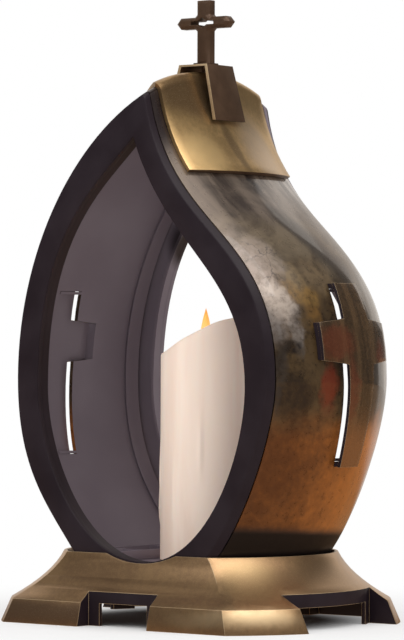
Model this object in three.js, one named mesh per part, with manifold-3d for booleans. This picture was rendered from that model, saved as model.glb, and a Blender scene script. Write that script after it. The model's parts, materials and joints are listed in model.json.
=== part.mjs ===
// Grave lantern: a drop-shaped open lantern on a flared foot, with a saddle cap,
// a small cross on top, a raised cross on each side wall and a battery candle inside.
// Millimetres, +Z up. The origin lies under the middle of the foot, on the ground.
// The front looks along -Y, and the lantern's right side is +X.

import * as THREE from 'three';
import { mergeVertices } from 'three/addons/utils/BufferGeometryUtils.js';
import Module from 'manifold-3d';

const wasm = await Module();
wasm.setup();

// Fits shared by all pieces
const seatGap = 0.3;
const overrun = 2;
const mergeTolerance = 0.0001;

// Foot: each level is a circle cut off flat at the front and back
const groundRadius = 119.5;
const groundHalfDepth = 87;
const shoulderRadius = 113.5;
const shoulderHalfDepth = 83.5;
const shoulderHeight = 14;
const rimRadius = 82;
const rimHalfDepth = 63.5;
const footHeight = 42;
const flareHollow = 4.5;
const footWall = 2.6;
const deckThickness = 2.5;
const recessDepth = 9;
const recessLip = 2;
const flareSteps = 5;
const planStepAngle = 6;
const planClearShare = 0.6;

// Notches and arches in the four sides of the foot
const frontNotchHalfWidth = 25.5;
const frontSkirtDepth = 76;
const frontArchHalfWidth = 17.5;
const sideNotchHalfWidth = 45;
const sideSkirtRadius = 101.7;
const sideArchHalfWidth = 34;
const archHeight = 13.3;

// Body: a leaning drop, drawn flat at the front and back and swelling between them
const bodyHalfDepth = 62;
const bodyHalfWidth = 91.8;
const bellyHeight = 145;
const apexHeight = 312;
const apexOffset = 3.4;
const heelHalfWidth = 41;
const barrelRadius = 110;
const apexRise = 15;
const bellySwell = 20;
const heelSwell = 29;
const shellWall = 2.4;
const ridgeSeam = 0.35;
const lowerSteps = 8;
const upperSteps = 14;
const apexSteps = 4;
const depthSteps = 10;
const flangeSteps = 2;
const flangeEndSteps = 2;
const openingSteps = 10;

// Curve handles of the drop: [share of the half width, share of the height above or below the belly]
const leftShoulderShares = [[0.57, 0.84], [1, 0.436]];
const rightNeckShares = [[0.16, 0.495], [1, 0.524]];
const leftHeelShares = [[1, 0.533], [0.71, 0.705]];
const rightHeelShares = [[1, 0.29], [0.71, 0.83]];

// Swell of those handles: [share of the belly swell sideways, share of the apex rise upwards]
const leftShoulderSwellShares = [[0.2, 0.5], [1, 0.5]];
const rightNeckSwellShares = [[0.8, 0.4], [1, 0.5]];
const heelSwellShares = [[1, 0], [1.3, 0]];
const apexBlendShare = 0.02;

// Frames round the front and back openings
const frameThickness = 5;
const flangeReach = 7;
const flangeGap = 0.5;
const flangeWall = 2;
const flangeFoot = 48;
const lipReach = 5;
const lipWall = 1.8;
const openingHalfWidth = 76.5;
const openingBelly = 140;
const openingApex = 286.6;
const openingApexOffset = -5;
const openingSill = 37.4;
const sillOffset = 3;
const openingLeftUpperShares = [[0.442, 0.803], [1, 0.638]];
const openingRightUpperShares = [[0.259, 0.531], [1, 0.467]];
const openingLeftLowerShares = [[1, 0.408], [0.6, 1]];
const openingRightLowerShares = [[1, 0.371], [0.659, 1]];
const sillDipRadius = 65;
const sillDipGap = 0.6;

// Raised crosses on the side walls
const crossTop = 201;
const crossBottom = 94;
const crossMiddle = 167;
const crossArmHalfSpan = 32;
const crossMiddleHalfWidth = 13.4;
const crossTopHalfWidth = 10.7;
const crossBottomHalfWidth = 9;
const crossMiddleHalfHeight = 14.4;
const crossTipHalfHeight = 11;
const crossStandOff = 3;
const crossPlate = 2;
const crossFoot = 3;
const crossTab = 1.6;
const crossTabReach = 0.4;
const crossFirstStep = 2;
const crossLastStep = 16;

// Vent in the ridge, under the cap
const ventHalfWidth = 13;
const ventHalfDepth = 26;
const ventFloor = 280;

// Cap over the ridge
const capHalfDepth = 50;
const capWall = 2.5;
const capRightHem = 265.5;
const capLeftHemX = -33;
const capHemLeanShare = 0.6;
const capFlapHalfDepth = 30;
const capFlapRootX = 2;
const capFlapX = -24;
const capTongueWall = 2;
const capTongueHalfWidth = 9;
const capTongueDrop = 12;

// Crest: saddle block and cross on the middle of the cap
const crestX = 2.2;
const crestTop = 332.3;
const crestFoot = 298.5;
const crestTopHalfWidth = 10.4;
const crestTopHalfDepth = 13;
const crestFootHalfWidth = 18.6;
const crestFootHalfDepth = 15;
const crestWall = 1.7;
const crestRoof = 1.2;
const finialBar = 9.4;
const finialDepth = 8.8;
const finialHeight = 38.8;
const finialArmRise = 25.3;
const finialArmHeight = 6.8;
const finialHalfSpan = 19.8;
const finialPoint = 3;
const finialFillet = 1.6;
const finialBevel = 1.9;
const finialSlotHalfLength = 8.5;
const finialSlotHeight = 2.2;
const finialDiamond = 3.2;
const collarHalfWidth = 5.4;
const collarThickness = 1.2;
const pegRadius = 2.6;
const crestScrewRadius = 1.1;
const crestScrewHead = 3;
const crestScrewHeadHeight = 1.8;
const crestScrewGrip = 9;
const crestPadRadius = 3.6;
const crestPadHeight = 4;

// Floor tray and the guide frame screwed on it, which holds the candle from three sides
const trayThickness = 3;
const guideTop = 42;
const guideWall = 2;
const guideClearance = 1.2;
const guideFront = 44;
const guideSide = 56;
const guideSideHalfLength = 32;
const bossRadius = 4;
const bossX = 45;
const bossY = 22;
const trayScrewRadius = 1.2;
const trayScrewHead = 3.4;
const trayScrewHeadHeight = 2;
const trayScrewTip = 40.5;

// Candle
const candleX = 3;
const candleRadius = 27;
const candleWall = 3;
const rimMiddle = 139.2;
const rimTiltShare = 0.42;
const rimBearingAngle = 37;
const rimSag = 4.4;
const rimRipple = 0.7;
const rimRipples = 7;
const poolDepth = 116;
const poolFloor = 2.5;
const sideFacets = 36;

// Candle flame, lamp and battery gear, heights above the candle's own foot
const flameRadius = 4.2;
const flameTop = 150.5;
const flameStem = 3.4;
const flameFlange = 5;
const flameFlangeThickness = 1;
const flameOutlineShares = [[0.9, 0.2], [1, 0.36], [0.82, 0.58], [0.42, 0.82]];
const flameBore = 2.9;
const flameBoreHeight = 8;
const lampRadius = 2.4;
const lampHeight = 7;
const postRadius = 4.6;
const caseRadius = 23.4;
const caseRoof = 2.4;
const batteryRadius = 7.25;
const batteryLength = 49.2;
const batteryNub = 1.3;
const batteryBead = 0.6;
const batteryNubRadius = 2.7;
const batterySpacing = 15.4;
const batteryClearance = 0.5;
const coverRadius = 18;
const coverThickness = 2;
const coverGripWidth = 2;
const coverGripHeight = 0.9;
const springHeight = 2.6;
const springRadius = 3;
const springPlate = 0.4;
const bridgeWidth = 8;
const boardRadius = 9;
const boardThickness = 1.4;
const switchWidth = 4;
const switchLength = 6;
const switchHeight = 2;
const switchTravel = 4;
const switchRing = 20.8;
const roundFacets = 20;

// Finishes
const footMetal = new THREE.MeshStandardMaterial({ color: 0x8a6a42, roughness: 0.38, metalness: 0.75 });
const frameLacquer = new THREE.MeshStandardMaterial({ color: 0x2a2023, roughness: 0.42, metalness: 0.1 });
const shellLacquer = new THREE.MeshStandardMaterial({ color: 0x6b4630, roughness: 0.18, metalness: 0.45 });
const crossLacquer = new THREE.MeshStandardMaterial({ color: 0x4f3322, roughness: 0.2, metalness: 0.45 });
const crestBronze = new THREE.MeshStandardMaterial({ color: 0x4a382c, roughness: 0.35, metalness: 0.7 });
const trayPlastic = new THREE.MeshStandardMaterial({ color: 0x574e56, roughness: 0.5, metalness: 0.05 });
const waxIvory = new THREE.MeshStandardMaterial({ color: 0xd9cab9, roughness: 0.55, metalness: 0 });
const flameAmber = new THREE.MeshStandardMaterial({ color: 0xffb347, roughness: 0.3, metalness: 0 });
const steel = new THREE.MeshStandardMaterial({ color: 0xb9bcc0, roughness: 0.3, metalness: 0.9 });
const lampPlastic = new THREE.MeshStandardMaterial({ color: 0xf0e2c0, roughness: 0.2, metalness: 0 });
const gearPlastic = new THREE.MeshStandardMaterial({ color: 0xe6e3dc, roughness: 0.5, metalness: 0 });
const batteryJacket = new THREE.MeshStandardMaterial({ color: 0x3b5c7a, roughness: 0.35, metalness: 0.2 });
const boardGreen = new THREE.MeshStandardMaterial({ color: 0x2e5a3a, roughness: 0.5, metalness: 0.1 });
const switchBlack = new THREE.MeshStandardMaterial({ color: 0x1d1d1f, roughness: 0.5, metalness: 0 });

// Heights that follow from the sizes above
const recessFloor = footHeight - recessDepth;
const bodyBottom = recessFloor + seatGap;
const trayTop = bodyBottom + trayThickness;
const candleFoot = trayTop + seatGap;
const trayRadius = heelHalfWidth + heelSwell - shellWall - seatGap;
const sideReach = bodyHalfWidth + bellySwell + crossStandOff + crossPlate + overrun;
const aboveBody = apexHeight + 2 * apexRise;
const shellHalfDepth = bodyHalfDepth - frameThickness - seatGap;
const finialFoot = crestTop + seatGap;
const finialTop = finialFoot + finialHeight;
const finialArmMiddle = finialFoot + finialArmRise;
const capInner = seatGap;
const capOuter = seatGap + capWall;
const seamIndex = lowerSteps + upperSteps + apexSteps / 2;
const outlineCount = 2 * (lowerSteps + upperSteps) + apexSteps;

// Turns a closed geometry into a solid that can be cut and joined, without its slivers
function solidOf(geometry) {
  const bare = geometry.clone();
  bare.deleteAttribute('normal');
  bare.deleteAttribute('uv');
  const merged = mergeVertices(bare, mergeTolerance);
  const corners = merged.index.array;
  const kept = [];
  for (let i = 0; i < corners.length; i += 3) {
    const [a, b, c] = [corners[i], corners[i + 1], corners[i + 2]];
    if (a !== b && b !== c && c !== a) kept.push(a, b, c);
  }
  return new wasm.Manifold(new wasm.Mesh({
    numProp: 3,
    vertProperties: new Float32Array(merged.attributes.position.array),
    triVerts: new Uint32Array(kept),
  }));
}

// Turns a solid back into a geometry for a mesh
function geometryOf(solid) {
  const mesh = solid.getMesh();
  const geometry = new THREE.BufferGeometry();
  geometry.setAttribute('position', new THREE.BufferAttribute(mesh.vertProperties, 3));
  geometry.setIndex(new THREE.BufferAttribute(mesh.triVerts, 1));
  geometry.computeVertexNormals();
  return geometry;
}

// Builds an indexed geometry and turns its faces outwards
function closedGeometry(points, triangles) {
  let volume = 0;
  for (let i = 0; i < triangles.length; i += 3) {
    const [a, b, c] = [points[triangles[i]], points[triangles[i + 1]], points[triangles[i + 2]]];
    volume += a.dot(new THREE.Vector3().crossVectors(b, c));
  }
  if (volume < 0) triangles.reverse();
  const geometry = new THREE.BufferGeometry().setFromPoints(points);
  geometry.setIndex(triangles);
  return geometry;
}

// Solid through a stack of rings with equally many points; the two end rings are closed flat
function loft(rings, flatten) {
  const count = rings[0].length;
  const points = rings.flat();
  const triangles = [];
  for (let r = 0; r < rings.length - 1; r++) {
    for (let i = 0; i < count; i++) {
      const a = r * count + i;
      const b = r * count + (i + 1) % count;
      triangles.push(a, b, b + count, a, b + count, a + count);
    }
  }
  const top = (rings.length - 1) * count;
  const facing = THREE.ShapeUtils.area(rings[0].map(flatten)) > 0;
  for (const [i, j, k] of THREE.ShapeUtils.triangulateShape(rings[0].map(flatten), [])) {
    triangles.push(...(facing ? [k, j, i] : [i, j, k]));
  }
  for (const [i, j, k] of THREE.ShapeUtils.triangulateShape(rings.at(-1).map(flatten), [])) {
    triangles.push(...(facing ? [top + i, top + j, top + k] : [top + k, top + j, top + i]));
  }
  return solidOf(closedGeometry(points, triangles));
}

// Solid between an outer and an inner grid of points
function sheet(outer, inner) {
  const rows = outer.length;
  const columns = outer[0].length;
  const points = [...outer.flat(), ...inner.flat()];
  const below = rows * columns;
  const triangles = [];
  const quad = (a, b, c, d) => triangles.push(a, b, c, a, c, d);
  for (let r = 0; r < rows - 1; r++) {
    for (let c = 0; c < columns - 1; c++) {
      const a = r * columns + c;
      quad(a, a + 1, a + columns + 1, a + columns);
      quad(below + a + columns, below + a + columns + 1, below + a + 1, below + a);
    }
  }
  for (let r = 0; r < rows - 1; r++) {
    const near = r * columns;
    const far = near + columns - 1;
    quad(near, near + columns, below + near + columns, below + near);
    quad(far + columns, far, below + far, below + far + columns);
  }
  for (let c = 0; c < columns - 1; c++) {
    const far = (rows - 1) * columns + c;
    quad(c + 1, c, below + c, below + c + 1);
    quad(far, far + 1, below + far + 1, below + far);
  }
  return solidOf(closedGeometry(points, triangles));
}

// Box between two corners
function box(low, high) {
  const size = high.map((value, axis) => value - low[axis]);
  const middle = high.map((value, axis) => (value + low[axis]) / 2);
  return solidOf(new THREE.BoxGeometry(...size).translate(...middle));
}

// Upright cylinder between two heights
function post(x, y, radius, bottom, top, facets = roundFacets) {
  const cylinder = new THREE.CylinderGeometry(radius, radius, top - bottom, facets);
  return solidOf(cylinder.rotateX(Math.PI / 2).translate(x, y, (bottom + top) / 2));
}

// Turned solid about the upright axis, from a profile of [radius, height] points
function turned(profile, facets) {
  const points = profile.map(([radius, height]) => new THREE.Vector2(radius, height));
  return solidOf(new THREE.LatheGeometry(points, facets).rotateX(Math.PI / 2));
}

// Flat shape in x and z, given a depth along y
function acrossDepth(shape, front, back) {
  const geometry = new THREE.ExtrudeGeometry(shape, { depth: back - front, bevelEnabled: false });
  return solidOf(geometry.rotateX(Math.PI / 2).translate(0, back, 0));
}

// Flat shape in y and z, given a width along x
function acrossWidth(shape, left, right) {
  const geometry = new THREE.ExtrudeGeometry(shape, { depth: right - left, bevelEnabled: false });
  return solidOf(geometry.rotateX(Math.PI / 2).rotateZ(Math.PI / 2).translate(left, 0, 0));
}

function joined(first, ...others) {
  return others.reduce((sum, next) => sum.add(next), first);
}

function cutBy(body, ...tools) {
  return tools.reduce((rest, tool) => rest.subtract(tool), body);
}

function mesh(name, solid, material) {
  const part = new THREE.Mesh(geometryOf(solid), material);
  part.name = name;
  return part;
}

// Foot

// Reach of the foot at a height: straight below the shoulder, a hollow flare above it
function footSize(height, ground, shoulder, rim) {
  if (height <= shoulderHeight) return ground + (shoulder - ground) * (height / shoulderHeight);
  const climb = Math.min(1, (height - shoulderHeight) / (footHeight - shoulderHeight));
  return shoulder + (rim - shoulder) * climb - flareHollow * 4 * climb * (1 - climb);
}

// Solid through a stack of levels, each a circle cut off flat at the front and back. The
// points of the round sides stand at fixed angles, inside the corners of every level.
function planLoft(levels) {
  const corners = levels.map(([radius, halfDepth]) => Math.asin(halfDepth / radius));
  const step = THREE.MathUtils.degToRad(planStepAngle);
  const steps = Math.floor(Math.min(...corners) / step - planClearShare);
  const rings = levels.map(([radius, halfDepth, height], level) => {
    const angles = [-corners[level]];
    for (let i = -steps; i <= steps; i++) angles.push(i * step);
    angles.push(corners[level]);
    return [0, Math.PI].flatMap((side) => angles.map((angle) => new THREE.Vector3(
      radius * Math.cos(side + angle), radius * Math.sin(side + angle), height,
    )));
  });
  return loft(rings, (p) => new THREE.Vector2(p.x, p.y));
}

function planPlug(radius, halfDepth, bottom, top) {
  return planLoft([[radius, halfDepth, bottom], [radius, halfDepth, top]]);
}

function footLoft(inset, bottom, top) {
  const heights = [bottom, shoulderHeight];
  for (let i = 1; i <= flareSteps; i++) {
    const height = shoulderHeight + ((footHeight - shoulderHeight) * i) / flareSteps;
    if (height < top) heights.push(height);
  }
  heights.push(top);
  return planLoft(heights.map((height) => [
    footSize(height, groundRadius, shoulderRadius, rimRadius) - inset,
    footSize(height, groundHalfDepth, shoulderHalfDepth, rimHalfDepth) - inset,
    height,
  ]));
}

// Space of the four notches, set back from the skirt by a wall where the hollow is cut
function notches(setBack) {
  const reach = groundRadius + overrun;
  const width = frontNotchHalfWidth + setBack;
  const skirt = frontSkirtDepth - setBack;
  const front = box([-width, -reach, -overrun], [width, -skirt, footHeight]);
  const back = box([-width, skirt, -overrun], [width, reach, footHeight]);
  const across = sideNotchHalfWidth + setBack;
  const sides = box([-reach, -across, -overrun], [reach, across, footHeight]);
  const facets = 360 / planStepAngle;
  const core = post(0, 0, sideSkirtRadius - setBack, -2 * overrun, footHeight + overrun, facets);
  return joined(front, back, sides.subtract(core));
}

function arches() {
  const reach = groundRadius + overrun;
  const low = -overrun;
  return joined(
    box([-frontArchHalfWidth, -reach, low], [frontArchHalfWidth, reach, archHeight]),
    box([-reach, -sideArchHalfWidth, low], [reach, sideArchHalfWidth, archHeight]),
  );
}

// Shallow dips in the rim's front and back lips, under the openings' sills
function sillDips() {
  const shape = new THREE.Shape();
  const middle = openingSill - sillDipGap + sillDipRadius;
  shape.absarc(sillOffset, middle, sillDipRadius, 0, 2 * Math.PI);
  const reach = rimHalfDepth + 3 * overrun;
  const ring = acrossDepth(shape, -reach, reach);
  return ring.subtract(box(
    [-groundRadius, -bodyHalfDepth, 0],
    [groundRadius, bodyHalfDepth, middle + groundRadius],
  ));
}

function screwPlaces() {
  const places = [];
  for (const x of [-bossX, bossX]) {
    for (const y of [-bossY, bossY]) places.push([x, y]);
  }
  return places;
}

function baseShell() {
  const hollow = footLoft(footWall, -overrun, recessFloor - deckThickness).subtract(notches(footWall));
  const recess = planPlug(
    rimRadius - recessLip, bodyHalfDepth + seatGap, recessFloor, footHeight + overrun,
  );
  const holes = screwPlaces().map(([x, y]) => {
    return post(x, y, trayScrewRadius + 2 * seatGap, 0, footHeight);
  });
  return cutBy(footLoft(0, 0, footHeight), hollow, notches(0), arches(), recess, sillDips(), ...holes);
}

// Body

// Share of the full swell at a depth: none at the frames, all in the middle
function swellShare(depth) {
  const edge = Math.sqrt(barrelRadius ** 2 - bodyHalfDepth ** 2);
  return (Math.sqrt(barrelRadius ** 2 - depth ** 2) - edge) / (barrelRadius - edge);
}

function bezierPoint([a, b, c, d], t) {
  return new THREE.CubicBezierCurve(a, b, c, d).getPoint(t);
}

// One flank of the drop at a depth: side is 1 on the right and -1 on the left
function flank(depth, side) {
  const swell = swellShare(depth);
  const rise = apexHeight - bellyHeight;
  const drop = bellyHeight - bodyBottom;
  const upperShares = side > 0 ? rightNeckShares : leftShoulderShares;
  const upperSwell = side > 0 ? rightNeckSwellShares : leftShoulderSwellShares;
  const lowerShares = side > 0 ? rightHeelShares : leftHeelShares;
  const apex = new THREE.Vector2(apexOffset, apexHeight + swell * apexRise);
  const belly = new THREE.Vector2(side * (bodyHalfWidth + swell * bellySwell), bellyHeight);
  const heel = new THREE.Vector2(side * (heelHalfWidth + swell * heelSwell), bodyBottom);
  const upper = upperShares.map(([across, up], i) => new THREE.Vector2(
    side * (bodyHalfWidth * across + swell * bellySwell * upperSwell[i][0]),
    bellyHeight + rise * up + swell * apexRise * upperSwell[i][1],
  ));
  const lower = lowerShares.map(([across, down], i) => new THREE.Vector2(
    side * (bodyHalfWidth * across + swell * bellySwell * heelSwellShares[i][0]),
    bellyHeight - drop * down,
  ));
  return { apex, upper: [apex, ...upper, belly], lower: [belly, ...lower, heel] };
}

// Points of the drop at a depth, from the right heel over the apex to the left heel
function dropOutline(depth) {
  const right = flank(depth, 1);
  const left = flank(depth, -1);
  const points = [];
  const along = (i, steps) => apexBlendShare + ((1 - apexBlendShare) * i) / steps;
  for (let i = lowerSteps; i > 0; i--) points.push(bezierPoint(right.lower, i / lowerSteps));
  for (let i = upperSteps; i >= 0; i--) points.push(bezierPoint(right.upper, along(i, upperSteps)));
  const round = new THREE.QuadraticBezierCurve(
    bezierPoint(right.upper, apexBlendShare), right.apex, bezierPoint(left.upper, apexBlendShare),
  );
  for (let i = 1; i < apexSteps; i++) points.push(round.getPoint(i / apexSteps));
  for (let i = 0; i <= upperSteps; i++) points.push(bezierPoint(left.upper, along(i, upperSteps)));
  for (let i = 1; i <= lowerSteps; i++) points.push(bezierPoint(left.lower, i / lowerSteps));
  return points;
}

// Moves an open curve of points sideways, outwards when the distance is positive
function offsetCurve(points, distance) {
  return points.map((point, i) => {
    const before = points[Math.max(i - 1, 0)];
    const after = points[Math.min(i + 1, points.length - 1)];
    const along = after.clone().sub(before).normalize();
    return new THREE.Vector2(point.x + along.y * distance, point.y - along.x * distance);
  });
}

// Rows of the body's surface at an offset, across a range of depths and of outline points
function surfaceRows(front, back, offset, first, last, steps) {
  const rows = [];
  for (let i = 0; i <= steps; i++) {
    const depth = front + ((back - front) * i) / steps;
    const curve = offsetCurve(dropOutline(depth), offset).slice(first, last + 1);
    rows.push(curve.map((p) => new THREE.Vector3(p.x, depth, p.y)));
  }
  return rows;
}

// Solid plug that fills the drop between two depths, at an offset from its surface
function dropPlug(depths, offset) {
  const rings = depths.map((depth) => {
    return offsetCurve(dropOutline(depth), offset).map((p) => new THREE.Vector3(p.x, depth, p.y));
  });
  return loft(rings, (p) => new THREE.Vector2(p.x, p.z));
}

function bodySheet(front, back, outer, inner, first, last, steps = depthSteps) {
  return sheet(
    surfaceRows(front, back, outer, first, last, steps),
    surfaceRows(front, back, inner, first, last, steps),
  );
}

// Cross whose bar and arms taper towards their ends, with its ends cut short and its sides set in
function crossShape(shortening, setIn) {
  const halfWidth = crossMiddleHalfWidth - setIn;
  const halfHeight = crossMiddleHalfHeight - setIn;
  const armSpan = crossArmHalfSpan - shortening;
  const armTaper = (crossTipHalfHeight - crossMiddleHalfHeight) / crossArmHalfSpan;
  const quarter = (end, endHalfWidth) => {
    const length = Math.abs(end - crossMiddle);
    const up = Math.sign(end - crossMiddle);
    const barTaper = (endHalfWidth - crossMiddleHalfWidth) / length;
    const corner = (halfWidth + barTaper * halfHeight) / (1 - barTaper * armTaper);
    return [
      [halfWidth + barTaper * (length - shortening), crossMiddle + up * (length - shortening)],
      [corner, crossMiddle + up * (halfHeight + armTaper * corner)],
      [armSpan, crossMiddle + up * (halfHeight + armTaper * armSpan)],
    ];
  };
  const lower = quarter(crossBottom, crossBottomHalfWidth);
  const upper = quarter(crossTop, crossTopHalfWidth);
  const right = [...lower, ...upper.reverse()];
  const left = right.map(([depth, height]) => [-depth, height]).reverse();
  return new THREE.Shape([...right, ...left].map(([depth, height]) => new THREE.Vector2(depth, height)));
}

// Cross-shaped prism through one side wall
function crossPrism(side, shortening, setIn) {
  const [left, right] = side > 0 ? [heelHalfWidth, sideReach] : [-sideReach, -heelHalfWidth];
  return acrossWidth(crossShape(shortening, setIn), left, right);
}

// Side wall from its heel to the seam along the ridge
function sideShell(side) {
  const [first, last] = side > 0 ? [0, seamIndex + 1] : [seamIndex - 1, outlineCount];
  const wall = bodySheet(-shellHalfDepth, shellHalfDepth, 0, -shellWall, first, last);
  const seam = apexOffset + (side * ridgeSeam) / 2;
  const beyond = seam - side * 4 * overrun;
  const farSide = box(
    [Math.min(seam, beyond), -bodyHalfDepth, ventFloor],
    [Math.max(seam, beyond), bodyHalfDepth, aboveBody],
  );
  const vent = box(
    [apexOffset - ventHalfWidth, -ventHalfDepth, ventFloor],
    [apexOffset + ventHalfWidth, ventHalfDepth, aboveBody],
  );
  return cutBy(wall, crossPrism(side, crossFoot + seatGap, 0), vent, farSide);
}

// Frames

function openingOutline() {
  const flankOf = (side, upperShares, lowerShares) => {
    const at = (across, height) => new THREE.Vector2(side * openingHalfWidth * across, height);
    const rise = openingApex - openingBelly;
    const drop = openingBelly - openingSill;
    const apex = new THREE.Vector2(openingApexOffset, openingApex);
    const sill = new THREE.Vector2(sillOffset, openingSill);
    const upper = upperShares.map(([across, up]) => at(across, openingBelly + rise * up));
    const lower = lowerShares.map(([across, down]) => at(across, openingBelly - drop * down));
    return { upper: [apex, ...upper, at(1, openingBelly)], lower: [at(1, openingBelly), ...lower, sill] };
  };
  const right = flankOf(1, openingRightUpperShares, openingRightLowerShares);
  const left = flankOf(-1, openingLeftUpperShares, openingLeftLowerShares);
  const points = [];
  const half = openingSteps;
  for (let i = half; i > 0; i--) points.push(bezierPoint(right.lower, i / half));
  for (let i = half; i > 0; i--) points.push(bezierPoint(right.upper, i / half));
  for (let i = 0; i < half; i++) points.push(bezierPoint(left.upper, i / half));
  for (let i = 0; i < half; i++) points.push(bezierPoint(left.lower, i / half));
  return points;
}

function closedOffset(points, distance) {
  const count = points.length;
  return points.map((point, i) => {
    const along = points[(i + 1) % count].clone().sub(points[(i + count - 1) % count]).normalize();
    return new THREE.Vector2(point.x + along.y * distance, point.y - along.x * distance);
  });
}

function frontFrame() {
  const face = -bodyHalfDepth;
  const rear = face + frameThickness;
  const plate = dropPlug([face, rear], 0);
  const outer = -shellWall - flangeGap;
  const tip = rear + flangeReach;
  const root = rear - overrun;
  const flankPoints = lowerSteps + upperSteps;
  const flange = (first, last) => bodySheet(root, tip, outer, outer - flangeWall, first, last, flangeSteps);
  const rightFlange = flange(flangeEndSteps, flankPoints - flangeEndSteps);
  const leftFlange = flange(flankPoints + apexSteps + flangeEndSteps, outlineCount - flangeEndSteps);
  const below = box([-groundRadius, rear, 0], [groundRadius, tip + overrun, flangeFoot]);
  const lipShape = new THREE.Shape(closedOffset(openingOutline(), lipWall));
  const lip = acrossDepth(lipShape, rear - overrun, rear + lipReach);
  const through = acrossDepth(new THREE.Shape(openingOutline()), face - overrun, tip + overrun);
  return cutBy(joined(plate, rightFlange, leftFlange, lip), below, through);
}

function mirroredInDepth(solid) {
  return solid.mirror([0, 1, 0]);
}

// Raised cross: a plate that follows the wall, on four feet with tabs that enter the window
function crossPlateSolid(side) {
  const [first, last] = side > 0
    ? [crossFirstStep, crossLastStep]
    : [outlineCount - crossLastStep, outlineCount - crossFirstStep];
  const reach = shellHalfDepth;
  const skin = (outer, inner) => bodySheet(-reach, reach, outer, inner, first, last);
  const outline = crossPrism(side, 0, 0);
  const plate = skin(crossStandOff + crossPlate, crossStandOff).intersect(outline);
  const middle = box(
    [-sideReach, -crossArmHalfSpan + crossFoot, crossBottom + crossFoot],
    [sideReach, crossArmHalfSpan - crossFoot, crossTop - crossFoot],
  );
  const feet = skin(crossStandOff + crossPlate / 2, seatGap).intersect(outline).subtract(middle);
  const inset = crossFoot + 2 * seatGap;
  const window = crossPrism(side, inset, 2 * seatGap);
  const inner = box(
    [-sideReach, -crossArmHalfSpan + inset + crossTab, crossBottom + inset + crossTab],
    [sideReach, crossArmHalfSpan - inset - crossTab, crossTop - inset - crossTab],
  );
  const tabs = skin(crossStandOff + crossPlate / 2, -shellWall - crossTabReach)
    .intersect(window).subtract(inner);
  return joined(plate, feet, tabs);
}

// Lid

// Room beside the cap's left flap, which is narrower than the cap's right side
function besideFlap(end) {
  const reach = capHalfDepth + overrun;
  const slant = (capFlapRootX - capFlapX) / (capHalfDepth - capFlapHalfDepth);
  const ring = (height) => [
    [capFlapRootX + slant * overrun, reach], [capFlapX, capFlapHalfDepth],
    [-groundRadius, capFlapHalfDepth], [-groundRadius, reach],
  ].map(([x, depth]) => new THREE.Vector3(x, end * depth, height));
  return loft([ring(bellyHeight), ring(aboveBody)], (p) => new THREE.Vector2(p.x, p.y));
}

function ridgeCap() {
  const first = lowerSteps + 2;
  const last = outlineCount - lowerSteps - 2;
  const skin = bodySheet(-capHalfDepth, capHalfDepth, capOuter, capInner, first, last);
  const trim = new THREE.Shape();
  trim.moveTo(apexOffset, capRightHem);
  trim.lineTo(groundRadius, capRightHem);
  trim.lineTo(groundRadius, aboveBody);
  trim.lineTo(capLeftHemX - capHemLeanShare * (aboveBody - capRightHem), aboveBody);
  trim.lineTo(capLeftHemX, capRightHem);
  trim.closePath();
  const reach = capHalfDepth + overrun;
  const tongueFace = ventHalfDepth - seatGap;
  const half = capHalfDepth / 2;
  const capCore = dropPlug([-capHalfDepth, -half, 0, half, capHalfDepth], capInner + capWall / 2);
  const tongues = [-1, 1].map((end) => {
    const [near, far] = [end * (tongueFace - capTongueWall), end * tongueFace];
    return box(
      [apexOffset - capTongueHalfWidth, Math.min(near, far), apexHeight - capTongueDrop],
      [apexOffset + capTongueHalfWidth, Math.max(near, far), aboveBody],
    ).intersect(capCore);
  });
  const pad = post(crestX, 0, crestPadRadius, crestPadFoot, crestTop).intersect(capCore);
  const hole = post(crestX, 0, crestScrewRadius + 2 * seatGap, apexHeight, crestTop);
  const hood = skin.intersect(acrossDepth(trim, -reach, reach));
  return cutBy(joined(hood, pad, ...tongues), hole, besideFlap(-1), besideFlap(1));
}

// Top of the cap over a place in its middle
function capTopAt(x) {
  const curve = offsetCurve(dropOutline(0), capOuter);
  for (let i = 1; i < curve.length; i++) {
    const [a, b] = [curve[i - 1], curve[i]];
    if (a.x >= x && b.x < x) return a.y + ((b.y - a.y) * (a.x - x)) / (a.x - b.x);
  }
  return apexHeight;
}

const crestPadFoot = capTopAt(crestX) - capWall - crestPadHeight;

function taperedBlock(topHalfWidth, footHalfWidth, topHalfDepth, footHalfDepth, bottom, top) {
  const ring = (halfWidth, halfDepth, height) => [
    new THREE.Vector3(crestX - halfWidth, -halfDepth, height),
    new THREE.Vector3(crestX + halfWidth, -halfDepth, height),
    new THREE.Vector3(crestX + halfWidth, halfDepth, height),
    new THREE.Vector3(crestX - halfWidth, halfDepth, height),
  ];
  const rings = [ring(footHalfWidth, footHalfDepth, bottom), ring(topHalfWidth, topHalfDepth, top)];
  return loft(rings, (p) => new THREE.Vector2(p.x, p.y));
}

function crestBlock() {
  const block = taperedBlock(
    crestTopHalfWidth, crestFootHalfWidth, crestTopHalfDepth, crestFootHalfDepth, crestFoot, crestTop,
  );
  const reach = crestFootHalfDepth + overrun;
  const channel = taperedBlock(
    crestTopHalfWidth - crestWall, crestFootHalfWidth - crestWall, reach, reach,
    crestFoot - overrun, crestTop - crestRoof,
  );
  const depths = [-reach, -reach / 2, 0, reach / 2, reach];
  const saddle = dropPlug(depths, capOuter + seatGap);
  const pegHole = post(crestX, 0, pegRadius + seatGap, crestFoot, crestTop + overrun);
  return cutBy(block, channel, saddle, pegHole);
}

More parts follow.
